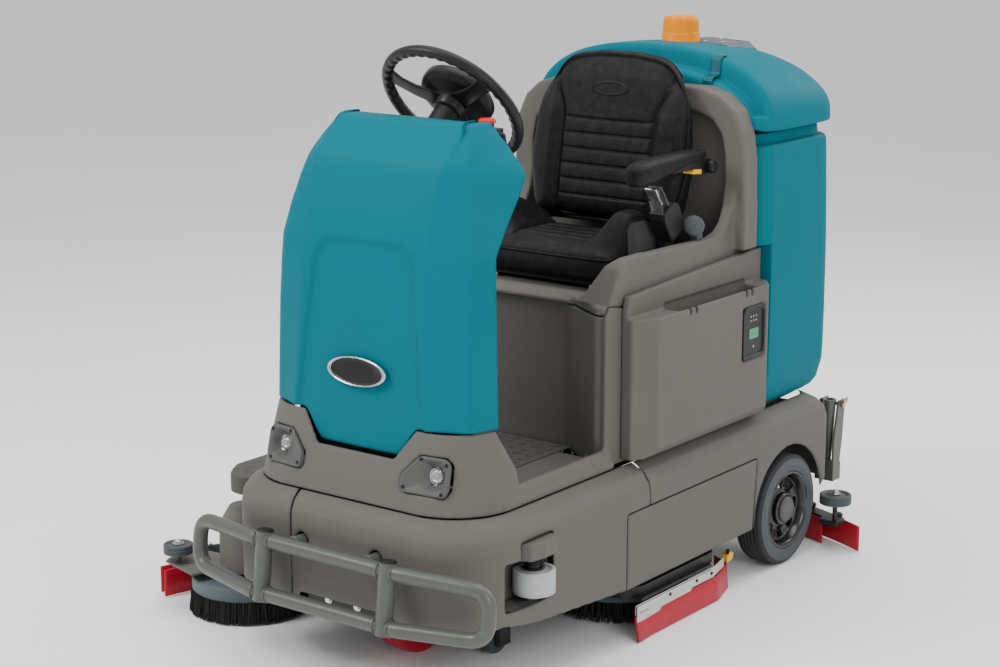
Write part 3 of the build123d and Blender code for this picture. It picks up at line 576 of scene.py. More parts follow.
# ---------------------------------------------------------------- steering cowl
COWL = [   # height: centre y, panel edge x y, facet x y, rear edge x y
    (640, -222, 200, -214, 300, -170, 331, -88),
    (760, -215, 196, -208, 298, -166, 331, -92),
    (900, -205, 191, -199, 295, -162, 331.5, -95),
    (1000, -195, 189, -190, 289, -158, 332, -98),
    (1066, -186, 188, -181, 283, -154, 332, -98),
    (1140, -170, 188, -166, 269, -141, 332, -50),
    (1205, -152, 190, -148, 254, -125, 332, 0),
    (1242, -141, 190, -137, 244, -114, 331, 20),
    (1262, -134, 190, -130, 238, -106, 317, 26),
    (1276, -124, 190, -120, 233, -98, 301, 28),
    (1310, -90, 191, -87, 224, -68, 265, 32),
    (1347, -54, 191, -51, 206, -37, 224, 34),
]


def cowl_foot(x):
    """Height of the cowl's lower edge: a tongue in the middle with slanted sides."""
    return 578 + 72 * smoothstep(116, 182, abs(x))


def arch_depth(x, z):
    """How far inside the recessed arch panel a point is, in mm."""
    half = 205 - (z - 654) * 0.12
    top = 1083
    side_gap = half - abs(x)
    top_gap = top - z
    if side_gap < 60 and top_gap < 60:
        return 60 - hypot(60 - side_gap, 60 - top_gap)
    return min(side_gap, top_gap)


def cowl_point(u, z):
    """Point of the cowl's outer face; u runs from -1 at one rear edge to 1 at the other."""
    yc, xp, yp, xf, yf, xr, yr = between(COWL, min(z, COWL_TOP))
    s = abs(u)
    knots = [(0.0, 0.0, yc), (0.5, xp, yp), (0.56, xp + 10, yp + 3), (0.76, xf - 12, yf - 5), (0.80, xf + 3,
        yf + 4), (0.84, xf + 0.18 * (xr - xf) + 3, yf + 0.18 * (yr - yf)), (1.0, xr, yr)]
    for a, b in zip(knots, knots[1:]):
        if s <= b[0]:
            t = (s - a[0]) / (b[0] - a[0])
            x, y = a[1] + (b[1] - a[1]) * t, a[2] + (b[2] - a[2]) * t
            break
    if s < 0.5:
        y = yc + (yp - yc) * (s / 0.5) ** 2
    sunk = 11.0 * smoothstep(-2, 13, arch_depth(x, z)) if z < 1100 else 0.0
    return Vector((copysign(x, u), y + sunk, z))


def make_cowl():
    bm = bmesh.new()
    across = [copysign(abs(k / 90) ** 0.9, k) for k in range(-90, 91)]
    rows = []
    for k in range(121):
        t = k / 120
        row = []
        for u in across:
            x = abs(cowl_point(u, 650).x)
            low = cowl_foot(x)
            row.append(cowl_point(u, low + (COWL_TOP - low) * t))
        rows.append(row)
    crown = rows[-1]
    for rise, shrink, back in ((4, 0.992, 4), (7, 0.98, 11), (9, 0.965, 22), (11, 0.945, 42),
            (12, 0.93, 62)):
        rows.append([Vector((p.x * shrink, min(p.y + back * (1 - abs(p.x) / 400), 30), p.z + rise))
            for p in crown])
    rear = rows[-1]
    rows.append([Vector((p.x * 0.98, 31, p.z - 4 * smoothstep(0, 30, p.y + 40))) for p in rear])
    add_grid(bm, rows)
    cowl = stand_in("steering_cowl", bm, "teal", "front_cowl")
    relaxed(cowl, 5)
    thicken(cowl, 0.005, 1.0)


make_cowl()


def make_badge():
    """Blank oval badge: dark field, bright double rim."""
    bm = bmesh.new()
    place = Matrix.Translation((0, -216.5, 768)) @ Matrix.Rotation(radians(-6), 4, "X")

    def oval(scale, material):
        rows = []
        for size, height in scale:
            wide, tall = 91 * size, 35 * size * (1 + 0.35 * (1 - size))
            rows.append([place @ Vector((wide * cos(a), -height, tall * sin(a))) for a in angles(96)])
        add_grid(bm, rows, True, material)

    field, rim = 0, 1
    oval([(1.0, -6), (1.0, 1.5), (0.99, 2.5), (0.955, 2.5), (0.945, 1.6)], rim)
    oval([(0.945, 1.6), (0.92, 1.4)], field)
    oval([(0.92, 1.4), (0.915, 2.2), (0.90, 2.2), (0.895, 1.4)], rim)
    oval([(0.895, 1.4), (0.6, 1.8), (0.3, 2.0), (0.02, 2.0)], field)
    stand_in("cowl_badge_oval", bm, ["dark", "chrome"], "cowl_badge")


make_badge()

# ---------------------------------------------------------------- seat
def panel_seam(z):
    """Half width of the back's centre panel at a height."""
    return 148 + 44 * smoothstep(1270, 1400, z)


def back_front(x, z):
    """Front face of the backrest: bolsters, sewn channels, yoke seam and a blank oval."""
    a = abs(x)
    seam = panel_seam(z)
    y = 800 + (z - 1000) * 0.155
    y -= 24 * smoothstep(seam - 6, seam + 34, a) * (1 - 0.75 * smoothstep(1240, 1400, z))
    y += 4.5 * bell(a - seam, 4.5)
    if a < seam:
        fade = smoothstep(seam, seam - 12, a)
        for k in range(6):
            y += 4.0 * bell(z - (1056 + 42 * k), 3.4) * fade
        if 1056 < z < 1266:
            y -= 2.6 * abs(sin(pi * (z - 1056) / 42)) ** 0.5 * fade
        else:
            y -= 5.0 * fade * (1 - ((a / seam) ** 2))
    ring = hypot(x / 54, (z - 1350) / 17)
    y -= 2.4 * bell(ring - 1, 0.09) + 1.0 * smoothstep(1.0, 0.85, ring)
    return y


def pillow_rings(outline, centre, count):
    return [[centre + (p - centre) * (k / count) ** 0.9 for p in outline] for k in range(1, count + 1)]


def add_pillow(bm, rows):
    """Grid of rings whose first and last ring are drawn in to a point."""
    grid = add_grid(bm, rows, True)
    for ring in (grid[0], grid[-1]):
        bmesh.ops.pointmerge(bm, verts=ring, merge_co=sum((v.co for v in ring), Vector()) / len(ring))


def make_seat_back():
    outline = rounded([(-222, 1002), (222, 1002), (249, 1140), (240, 1310), (166, 1428), (60, 1442),
        (-60, 1442), (-166, 1428), (-240, 1310), (-249, 1140)], [50, 50, 160, 150, 95, 200, 200, 95, 150,
        160], 24)
    outline = even(outline, 320)
    centre = Vector((0, BACK_MIDDLE_Z))
    count = 110
    front, rear = [], []
    for k, ring in enumerate(pillow_rings(outline, centre, count)):
        s = ((k + 1) / count) ** 0.9
        drop = 1 - sqrt(max(0.0, 1 - s ** 9))
        front.append([Vector((p.x, back_front(p.x, p.y) + 44 * drop + 3.0 * bell(s - 0.965, 0.012),
            p.y)) for p in ring])
        rear.append([Vector((p.x, 906 + (p.y - 1000) * 0.03 - 34 * smoothstep(1330, 1440, p.y) * s - 34
            * drop * (1 - smoothstep(1330, 1440, p.y)), p.y)) for p in ring])
    bm = bmesh.new()
    sides = []
    last_f, last_r = front[-1], rear[-1]
    for t in (0.12, 0.3, 0.5, 0.7, 0.88):
        sides.append([a.lerp(b, t) + Vector((a.x, 0, a.z - BACK_MIDDLE_Z)).normalized() * 5.0
            * sin(pi * t) for a, b in zip(last_f, last_r)])
    rows = front + sides + rear[::-1]
    add_pillow(bm, rows)
    for face in bm.faces:
        c = face.calc_center_median() * 1000
        if panel_seam(c.z) + 6 < abs(c.x) < 226 and 1040 < c.z < 1290 and c.y < 860:
            face.material_index = 1
    back = from_bmesh("seat_backrest", bm, ["vinyl", "vinyl_holes"], "backrest", (), True,
        False)
    trim = bmesh.new()
    add_tube(trim, [f + Vector((f.x, 0, f.z - BACK_MIDDLE_Z)).normalized() * 2.5 for f in last_f[::2]], 3.4,
        10, True)
    for sign in (-1, 1):
        path = []
        for k in range(35):
            z = 1044 + k * 9.3
            path.append((sign * (panel_seam(z) + 1.5), back_front(panel_seam(z) + 1.5, z) - 0.5, z))
        add_tube(trim, path, 2.0, 8)
    piping = from_bmesh("backrest_piping", trim, "vinyl", "backrest")
    hinge = bmesh.new()
    add_drum(hinge, 8, 486, (-243, 855, 985), LEFT, 24)
    for x in (190, -215):
        add_slab(hinge, pane(842, 868, 976, 1020, 6, 4), x, x + 25, on_side)
    add_drum(hinge, 9, 70, ARMREST_PIN, LEFT, 24)
    add_lathe(hinge, [(0.1, 66), (16, 66), (17, 68), (17, 80), (14, 84), (0.1, 84)], ARMREST_PIN, LEFT, 48,
        ring=lambda r, a, t: r + (0.9 * cos(12 * a) if r > 15 else 0))
    metalwork = stand_in("backrest_hinge", hinge, "dark", "seat_back")


def cushion_top(x, y):
    """Top of the seat cushion: front roll, side bolsters, sewn cross channels."""
    a = abs(x)
    z = 972 + 10 * smoothstep(540, 600, y)
    rise = smoothstep(108, 200, a) * smoothstep(535, 612, y) * (1 - 0.45 * smoothstep(650, 790, y))
    z += 86 * rise
    seam = 122
    z -= 4.5 * bell(a - seam, 4.0) * smoothstep(560, 585, y)
    if a < seam and y > 580:
        fade = smoothstep(seam, seam - 12, a)
        for k in range(5):
            z -= 3.5 * bell(y - (592 + 42 * k), 3.6) * fade
        z += 2.6 * abs(sin(pi * (y - 592) / 42)) ** 0.7 * fade if y > 592 else 0.0
    return z


def outwards(p):
    """Level direction from the middle of the cushion to a point."""
    return Vector((p.x, p.y - CUSHION_MIDDLE_Y, 0)).normalized()


def make_cushion():
    outline = rounded([(-222, 524), (-60, 521), (60, 521), (222, 524), (236, 620), (228, 788), (-228, 788),
        (-236, 620)], [62, 200, 200, 62, 60, 40, 40, 60], 22)
    outline = even(outline, 300)
    centre = Vector((0, CUSHION_MIDDLE_Y))
    count = 90
    rows = []
    for k, ring in enumerate(pillow_rings(outline, centre, count)):
        s = ((k + 1) / count) ** 0.9
        drop = 1 - sqrt(max(0.0, 1 - s ** 8))
        rows.append([Vector((p.x, p.y, cushion_top(p.x, p.y) - 26 * drop)) for p in ring])
    edge = rows[-1]
    for t in (0.1, 0.22, 0.36, 0.5, 0.64, 0.78, 0.9, 0.97):
        out = 7.0 * sin(pi * t) - 8.0 * smoothstep(0.85, 1.0, t)
        rows.append([Vector((p.x, p.y, p.z + (888 - p.z) * t)) + outwards(p) * out for p in edge])
    for s in (0.94, 0.8, 0.5, 0.1):
        rows.append([Vector((p.x * s, CUSHION_MIDDLE_Y + (p.y - CUSHION_MIDDLE_Y) * s, 885.5))
            for p in edge])
    bm = bmesh.new()
    add_pillow(bm, rows)
    for face in bm.faces:
        c = face.calc_center_median() * 1000
        if abs(c.x) > 224 and 590 < c.y < 775 and c.z < cushion_top(c.x, c.y) - 26:
            face.material_index = 2
        elif abs(c.x) > 132 and c.z > 960 and c.y > 600:
            face.material_index = 1
    cushion = from_bmesh("seat_cushion_padded", bm, ["vinyl", "vinyl_holes", "pocket"], "seat",
        ("seat_cushion",), True, False)
    trim = bmesh.new()
    add_tube(trim, [p + outwards(p) * 2.0 for p in edge[::2]], 3.2, 10, True)
    for sign in (-1, 1):
        add_tube(trim, [(sign * 123.5, y, cushion_top(123.5, y) + 0.5) for y in range(575, 772, 6)], 1.8, 8)
    low = [Vector((p.x, p.y, 903)) + outwards(p) * 2.5 for p in edge[::2]]
    add_tube(trim, low, 2.6, 8, True)
    from_bmesh("cushion_piping", trim, "vinyl", "seat")


def make_armrest():
    bm = bmesh.new()
    sections = []
    for y, half, low, high in ((528, 8, 1164, 1182), (530, 17, 1152, 1190), (537, 24, 1145, 1198),
            (550, 27, 1142, 1203), (580, 28, 1142, 1207), (640, 28, 1150, 1209), (720, 28, 1166, 1210),
            (800, 27, 1179, 1210), (845, 26, 1183, 1208), (858, 22, 1186, 1205), (862, 14, 1190, 1201)):
        ring = rounded([(284 - half, low), (284 + half, low), (284 + half, high), (284 - half, high)],
            min(half, (high - low) / 2) * 0.85, 5)
        sections.append([Vector((p.x, y, p.y + 3 * bell(p.x - 284, 18) * (p.y > (low + high) / 2)))
            for p in ring])
    add_loft(bm, sections)
    pad = from_bmesh("armrest_pad", bm, "vinyl", "armrest", (), True)
    mod = pad.modifiers.new("round", "SUBSURF")
    mod.levels = mod.render_levels = 2
    arm = bmesh.new()
    profile = rounded([(610, 1168), (700, 1176), (860, 1184), (902, 1178), (902, 1142), (858, 1140),
        (800, 1158), (700, 1160)], [6, 10, 10, 12, 14, 14, 30, 14], 5)
    add_slab(arm, profile, 264, 297, on_side, 3)
    add_lathe(arm, [(9.2, 0), (15, 0), (15, 20), (9.2, 20)], (258, 880, 1160), LEFT, 32)
    bracket = stand_in("armrest_bracket", arm, "dark", "armrest_left", False)
    stop = bmesh.new()
    add_slab(stop, rounded([(800, 1148), (846, 1143), (846, 1156), (806, 1160)], 3, 3), 268, 299, on_side,
        1)
    extra("armrest_stop", stop, "yellow", "armrest", smooth=False)


def make_belt():
    """Belt reel housing, folded webbing and the latch plate."""
    bm = bmesh.new()

    def leaned(y0, z0, angle):
        c, s = cos(radians(angle)), sin(radians(angle))
        return lambda u, v, w: Vector((w, y0 + u * c - v * s, z0 + u * s + v * c))

    add_slab(bm, rounded([(-38, -46), (38, -46), (40, 30), (22, 47), (-30, 47), (-38, 30)], 9, 5), 255, 305,
        leaned(708, 1035, 30), 4)
    add_slab(bm, pane(-10, 10, -34, 34, 4, 4), 266, 294, leaned(662, 1098, 30), 2)
    add_slab(bm, pane(692, 714, 884, 1010, 3, 3), 256, 271, on_side, 1)
    stand_in("belt_reel_housing", bm, "dark", "belt_reel", False)
    web = bmesh.new()
    path = bent([(694, 1074), (676, 1100), (648, 1136), (640, 1120), (664, 1060), (690, 1020)], 8, 6)
    strip = [[Vector((x, y, z)) for y, z in path] for x in (262, 298)]
    add_grid(web, strip)
    strap = from_bmesh("belt_webbing", web, "webbing", "seat")
    thicken(strap, 0.0025, 0.0)
    plate = bmesh.new()
    face = leaned(645, 1104, 35)
    outer = pane(-3, 3, -24, 30, 1, 3)
    add_slab(plate, outer, 263, 270, face, 0.8)
    add_slab(plate, outer, 290, 297, face, 0.8)
    for low, high in ((-24, -14), (4, 30)):
        add_slab(plate, pane(-3, 3, low, high, 1, 3), 269, 291, face, 0.8)
    extra("belt_latch_plate", plate, "steel", "seat", smooth=False)


make_seat_back()
make_cushion()
make_armrest()
make_belt()


# ---------------------------------------------------------------- steering wheel and controls
AXIS = Vector((0, sin(STEER_TILT), cos(STEER_TILT)))
HUB = Vector((0, 158, 1373))
ACROSS = Vector(LEFT)
ALONG = AXIS.cross(ACROSS)


def on_wheel(u, v, w):
    """Point in the steering wheel's own plane; w is the height above it."""
    return HUB + ACROSS * u + ALONG * v + AXIS * w


def make_steering_wheel():
    bm = bmesh.new()
    rows = []
    for a in angles(240):
        row = []
        for b in angles(20):
            r = 14.6 + 1.3 * cos(40 * a) * max(0.0, cos(b - radians(215)))
            rr = 182 + r * cos(b)
            row.append(on_wheel(rr * cos(a), rr * sin(a), r * sin(b)))
        rows.append(row)
    add_grid(bm, rows + [rows[0]], True)
    for angle in (90, 210, 330):
        c, s = cos(radians(angle)), sin(radians(angle))
        sections = []
        for r, half, low, thick in ((30, 27, -6, 12), (60, 24, -8, 10), (100, 20, -11, 8), (140, 19, -9, 8),
                (165, 22, -5, 9), (176, 26, -4, 9)):
            ring = pane(-half, half, low, low + thick, 3.5, 4)
            sections.append([on_wheel(r * c - p.x * s, r * s + p.x * c, p.y) for p in ring])
        add_loft(bm, sections)
    add_lathe(bm, [(0.1, -28), (34, -28), (38, -24), (40, -6), (56, 2), (78, 6), (94, 12), (98, 22),
        (98, 38), (94, 42), (90, 40), (88, 30), (80, 20), (62, 15), (40, 14), (38, 20), (36, 34), (30, 40),
        (0.1, 42)], HUB, AXIS, 96)
    stand_in("steering_wheel_rim", bm, "dark", "steering_wheel")


def make_controls():
    bm = bmesh.new()
    add_lathe(bm, [(0.1, -46), (8, -46), (8, 0), (15, 1), (20, 4), (22, 8), (21.5, 12), (17, 15.4), (9, 16),
        (0.1, 16)], (180, 64, 1346), UP, 48)
    stand_in("estop_mushroom", bm, "red_button", "estop_button")
    bm = bmesh.new()
    base = on_wheel(0, 0, -60)
    add_lathe(bm, [(0.1, 33), (6, 33), (6, 60), (5, 100), (5, 132), (9, 135), (13, 142), (13.5, 150),
        (11, 157), (0.1, 159)], (0, base.y, base.z), LEFT, 36)
    stand_in("direction_knob", bm, "dark", "direction_lever")
    bm = bmesh.new()
    add_lathe(bm, [(0.1, 0), (9, 0), (9, 36), (0.1, 37)], (-150, 35, 1300), (0, 1, 0), 32)
    add_slab(bm, pane(-160, -140, 1284, 1316, 8, 5), 72, 92, on_front, 2)
    stand_in("ignition_key", bm, "dark", "key_switch", False)


make_steering_wheel()
make_controls()

# ---------------------------------------------------------------- wheels and rollers
def clamp_floor(bm):
    for v in bm.verts:
        v.co.z = max(v.co.z, 0.0)


def make_rear_wheel(side, sign):
    body = "rear_wheel_" + side[0]
    start, out = Vector((sign * REAR_HUB_X, REAR_AXLE_Y, REAR_AXLE_Z)), (sign, 0, 0)

    def tread(r, a, t):
        on_shoulder = r >= 156 and (t < 18 or t > 72)
        return r - 3.0 * smoothstep(0.80, 0.95, cos(96 * a)) * on_shoulder

    profile = [(112, 40), (112, 3), (118, 0.5), (136, 0), (147, 3), (155, 8), (158.5, 13)]
    for g in range(16, 77, 12):
        profile += [(158.8, g - 2), (154.5, g - 1), (154.5, g + 1), (158.8, g + 2)]
    profile += [(158.5, 79), (155, 83), (147, 87), (145, 88.6), (143, 87.6), (136, 90), (122, 89.6),
        (120, 88.4), (118, 89.4), (112, 87), (112, 40)]
    bm = bmesh.new()
    add_lathe(bm, profile, start, out, 384, tread)
    clamp_floor(bm)
    for face in bm.faces:
        c = face.calc_center_median() * 1000
        if hypot(c.y - REAR_AXLE_Y, c.z - REAR_AXLE_Z) > 150:
            face.material_index = 1
    node = "rear_tyre_" + side
    stand_in(node + "_ribbed", bm, ["tyre_grey", "tread"], node)
    bm = bmesh.new()
    add_lathe(bm, [(111.5, 0), (111.5, 86), (108, 88), (102, 87), (98, 80), (95, 66), (92, 60), (92, 40),
        (104, 20), (104, 0), (111.5, 0)], start, out, 128)
    add_lathe(bm, [(15.1, 20), (44, 20), (44, 66), (47, 70), (47, 76), (44, 78), (34, 78), (15.1, 78)],
        start, out, 96)
    stand_in("rear_rim_" + side, bm, "gloss_black", "rear_hub_" + side)
    bm = bmesh.new()
    rows = []
    d, u, v = frame_for(out)
    for r in (43, 48, 53, 58, 66, 74, 81, 86, 90, 93.5):
        t = 56 + 8 * smoothstep(60, 93, r) + 6 * smoothstep(60, 43, r)
        rows.append([start + d * t + (u * cos(a) + v * sin(a)) * r for a in angles(240)])
    add_grid(bm, rows, True)

    def in_window(face):
        c = face.calc_center_median() * 1000 - start
        return 57 < (c - d * c.dot(d)).length < 86 and cos(8 * atan2(c.dot(v), c.dot(u))) > 0.0

    bmesh.ops.delete(bm, geom=[face for face in bm.faces if in_window(face)], context="FACES")
    web = from_bmesh("rear_web_" + side, bm, "gloss_black", body)
    thicken(web, 0.006, 0.0)
    bm = bmesh.new()
    add_lathe(bm, [(30, 76), (36, 78), (37, 83), (34, 87), (26, 89), (12, 89.8), (0.1, 90)], start, out, 64)
    extra("rear_cap_" + side, bm, "bezel", body)


def make_drive_wheel():
    bm = bmesh.new()
    profile = [(86, 8), (90, 3), (110, 2), (121, 4), (126, 9), (127, 14), (127, 66), (126, 71), (121, 76),
        (110, 78), (90, 77), (86, 72), (86, 8)]
    add_lathe(bm, profile, (-40, 0, DRIVE_AXLE_Z), LEFT, 192)
    clamp_floor(bm)
    stand_in("drive_tyre", bm, "red_urethane", "drive_wheel")
    bm = bmesh.new()
    add_lathe(bm, [(12.2, 4), (30, 4), (34, 14), (60, 26), (80, 14), (86, 8), (86, 72), (80, 66), (60, 54),
        (34, 66), (30, 76), (12.2, 76), (12.2, 4)], (-40, 0, DRIVE_AXLE_Z), LEFT, 96)
    extra("drive_hub", bm, "black_paint", "drive_wheel")
    bm = bmesh.new()
    add_lathe(bm, [(134, 72), (137, 72), (137, 278), (134, 278), (134, 72)], (0, 0, 0), UP, 96)
    extra("drive_fender", bm, "black_paint", "drive_yoke")


def make_roller(name, node, centre, low, high, radius, bore, material, rings):
    """Solid roller on a vertical pin, with rings turned in its face and a recessed top."""
    height = high - low
    profile = [(bore, 0), (radius * 0.62, 0), (radius * 0.66, 3), (radius * 0.78, 3), (radius * 0.82, 0),
        (radius - 3, 0), (radius - 0.8, 1), (radius, 4)]
    for at in rings:
        profile += [(radius, at * height - 1.5), (radius - 1.6, at * height), (radius, at * height + 1.5)]
    profile += [(radius, height - 4), (radius - 0.8, height - 1), (radius - 3, height), (radius * 0.80,
        height), (radius * 0.76, height - 3), (radius * 0.52, height - 3.5), (radius * 0.46, height - 1),
        (bore, height - 1)]
    bm = bmesh.new()
    add_lathe(bm, profile + [(bore, 0)], (*centre, low), UP, 72)
    stand_in(name, bm, material, node)


def add_nut(bm, centre, low, across, height, direction=(0, 0, 1)):
    d, u, v = frame_for(direction)
    corner = [u * cos(pi * k / 3) + v * sin(pi * k / 3) for k in range(6)]
    rows = []
    for scale, t in ((0.86, 0), (1, 0.12), (1, 0.86), (0.86, 1.0)):
        rows.append([Vector((*centre, low)) + d * t * height + c * across * scale for c in corner])
    add_loft(bm, rows)


def make_rollers():
    make_roller("corner_roller_wheel", "corner_roller", CORNER_ROLLER, 255, 315, 52, 8.05, "white_roller",
        (0.10, 0.90))
    for side, sign in (("left", 1), ("right", -1)):
        bm = bmesh.new()
        add_lathe(bm, [(8.05, 0), (26, 0), (28, 3), (32, 3), (34, 0), (38, 1), (40, 5), (40, 29), (38, 33),
            (34, 34), (32, 31), (28, 31), (26, 34), (8.05, 34), (8.05, 0)], (sign * SUPPORT_WHEEL[0] - 17,
            *SUPPORT_WHEEL[1:]), LEFT, 64)
        node = "support_wheel_" + side
        stand_in(node + "_turned", bm, "grey_roller", node)
        make_roller("squeegee_roller_" + side + "_turned", "squeegee_roller_" + side, (sign * 484, 1314),
            147, 175, 46, 7.06, "grey_roller", (0.3, 0.7))
    make_roller("side_roller_turned", "side_roller", SIDE_ROLLER, 150, 176, 40, 6.06, "grey_roller",
        (0.3, 0.7))
    for name, body, centre, low in (("side_roller_nut", "side_arm", SIDE_ROLLER, 177), ("squeegee_nut_left",
            "squeegee", (484, 1314), 176), ("squeegee_nut_right", "squeegee", (-484, 1314), 176)):
        bm = bmesh.new()
        add_drum(bm, 15, 2, (*centre, low - 0.6), UP, 32)
        add_nut(bm, centre, low + 1, 10.5, 7)
        add_lathe(bm, [(0.1, 0), (5.5, 0), (5.5, 3), (4.5, 4), (0.1, 4)], (*centre, low + 7), UP, 24)
        extra(name, bm, "steel", body, smooth=False)
    spring = bmesh.new()
    path = []
    x, y = CORNER_ROLLER
    for k in range(91):
        a = 2 * pi * 3.0 * k / 90
        path.append((x + 22 * cos(a), y + 22 * sin(a), 321 + 22 * k / 90))
    add_tube(spring, path, 2.6, 8)
    for level in (316, 344):
        add_lathe(spring, [(16.2, 0), (27, 0), (27, 3), (16.2, 3)], (x, y, level), UP, 40)
    extra("corner_roller_spring", spring, "black_paint", "chassis")


# ---------------------------------------------------------------- bumper
def bumper_loop():
    right = [(0, -342, 340), (230, -342, 340), (461, -294, 332), (461, -304, 214), (230, -358, 208),
        (0, -358, 208)]
    half = bent(right, [100, 52, 52, 100], 14)
    dense = []
    for a, b in zip(half, half[1:]):
        parts = max(1, int((b - a).length / 14))
        dense += [a.lerp(b, k / parts) for k in range(parts)]
    dense.append(half[-1])
    left = [Vector((-p.x, p.y, p.z)) for p in reversed(dense)]
    return dense + left[1:-1]


def add_bead(bm, centre, direction, ring, bead):
    """Weld bead round a tube: overlapping ripples."""
    _, u, v = frame_for(direction)
    path, sizes = [], []
    for a in angles(64):
        path.append(Vector(centre) + (u * cos(a) + v * sin(a)) * ring)
        sizes.append(bead * (1 + 0.16 * sin(14 * a) + 0.05 * sin(5 * a)))
    add_tube(bm, path, sizes, 8, True)


def make_bumper():
    bm = bmesh.new()
    add_tube(bm, bumper_loop(), 19, 28, True)
    for sign in (-1, 1):
        low, high = (Vector((sign * x, y, z)) for x, y, z in BUMPER_POST)
        add_lathe(bm, [(0.1, 0), (19, 0), (21.5, 2), (21.5, 176)], low, high - low, 40)
        add_lathe(bm, [(17, 4), (17, 137)], (sign * 118, -342, 340), (0, 1, 0), 32)
        for z, y in ((340, -342.5), (208, -358.5)):
            for side in (-1, 1):
                add_bead(bm, (sign * 196 + side * 21.5, y, z), LEFT, 19.6, 2.6)
        add_bead(bm, (sign * 118, -322.5, 340), (0, 1, 0), 17.8, 2.4)
    stand_in("bumper_bent_tube", bm, "frame_paint", "bumper_tube")
    bm = bmesh.new()
    for sign in (-1, 1):
        low, high = (Vector((sign * x, y, z)) for x, y, z in BUMPER_POST)
        add_lathe(bm, [(21.4, -0.5), (21.9, 1), (21.5, 3.0), (18, 4.2), (10, 4.6), (0.1, 4.7)], high, high
            - low, 40)
    extra("bumper_plugs", bm, "dark", "chassis")
    bm = bmesh.new()
    add_slab(bm, pane(-112, 118, 182, 222, 8, 4), -281, -277, on_front, 1)
    extra("bumper_foot_plate", bm, "black_paint", "chassis", smooth=False)
    bm = bmesh.new()
    for x in (-44, 48):
        add_nut(bm, (x, -281), 202, 9, 6, (0, -1, 0))
        add_drum(bm, 11, 1.5, (x, -281, 202), (0, -1, 0), 32)
    extra("foot_plate_screws", bm, "steel", "chassis", smooth=False)


# ---------------------------------------------------------------- lamps
def make_lamps():
    n = Vector((0.154, -0.963, 0.22)).normalized()
    x = Vector((1, 0.16, 0))
    x = (x - n * x.dot(n)).normalized()
    y = n.cross(x)
    outline = rounded([(-88, -46), (34, -49), (43, -28), (43, 30), (30, 44), (-40, 45), (-88, -6)],
        [16, 16, 22, 22, 22, 26, 26], 10)
    outline = even(outline, 96)
    bezel, lens, reflector, screws = (bmesh.new() for _ in range(4))
    for sign in (-1, 1):
        def place(u, v, w):
            p = Vector((243, -225, 552)) + x * u + y * v + n * w
            return Vector((sign * p.x, p.y, p.z))

        def hole(r):
            ring = []
            for p in outline:
                a = atan2(p.y, p.x + 12 if p.x < -30 else p.x)
                ring.append(Vector((r * cos(a), r * sin(a))))
            return ring

        def scaled(s):
            return [Vector((p.x * s - 18 * (1 - s), p.y * s)) for p in outline]

        rows = [(scaled(1.0), -5), (scaled(1.0), 3.5), (scaled(0.988), 5), (scaled(0.86), 5), (scaled(0.83),
            3.6)]
        inner, rim = scaled(0.80), hole(25)
        for t in (0.12, 0.28, 0.45, 0.62, 0.78, 0.92):
            rows.append(([a.lerp(b, t) for a, b in zip(inner, rim)], 2.5 - 15.5 * t ** 1.3))
        rows += [(hole(25), -14), (hole(22), -14), (hole(21), -22)]
        add_grid(bezel, [[place(p.x, p.y, w) for p in ring] for ring, w in rows], True)

        def disc(bm, profile):
            add_grid(bm, [[place(r * cos(a), r * sin(a), w) for a in angles(48)] for r, w in profile], True)

        disc(reflector, [(20.8, -17), (18.6, -18), (17, -21), (13, -25), (6, -27), (0.1, -27.5)])
        disc(lens, [(18.5, -19), (18.5, -15), (16, -12), (11, -10), (5, -9), (0.1, -8.8)])
        disc(reflector, [(6.5, -27), (6.5, -18), (5, -15), (0.1, -14)])
        for u, v in ((-36, 37), (33, 30), (26, -40), (-78, -34)):
            at = place(u, v, 4.8)
            d = place(u, v, 6) - at
            add_lathe(screws, [(4.6, 0), (4.6, 1.6), (3.8, 2.4), (2.2, 2.4), (1.9, 0.8), (0.1, 0.8)], at, d,
                20)
    stand_in("lamp_bezels", bezel, "bezel", "headlight_bezels")
    stand_in("lamp_lenses", lens, "lens", "headlight_lenses")
    extra("lamp_reflectors", reflector, "chrome", "chassis")
    extra("lamp_screws", screws, "dark", "chassis")


# ---------------------------------------------------------------- tank, lid and beacon
TANK = [   # height: half width, front y, rear y, corner radius
    (470, 360, 1003, 1366, 50), (480, 372, 1003, 1386, 58), (500, 382, 1003, 1404, 62),
    (540, 391, 1003, 1420, 72), (640, 394, 1003, 1424, 78), (850, 395, 1003, 1424, 82),
    (1000, 393.5, 1003, 1422, 84), (1150, 390, 1003, 1417, 82), (1192, 388, 1004, 1414, 80),
    (1201, 384, 1006, 1410, 78), (1204, 378, 1010, 1404, 76), (1205.5, 370, 1015, 1396, 70),
    (1208, 368, 1016, 1394, 70), (1234, 366, 1018, 1392, 70)]


def tank_ring(z, notched):
    half, y0, y1, radius = spline(TANK, z)
    if notched:
        corners = [(-352, y0), (352, y0), (352.5, 1062), (half, 1063), (half, y1), (-half, y1),
            (-half, 1063), (-352.5, 1062)]
        radii = [4, 4, 4, 4, radius, radius, 4, 4]
    else:
        corners = [(-half + 62, y0), (half - 62, y0), (half - 12, y0 + 14), (half, y0 + 66), (half, y1),
            (-half, y1), (-half, y0 + 66), (-half + 12, y0 + 14)]
        radii = [40, 40, 40, 40, radius, radius, 40, 40]
    return [Vector((p.x, p.y, z)) for p in rounded(corners, radii, 8)]


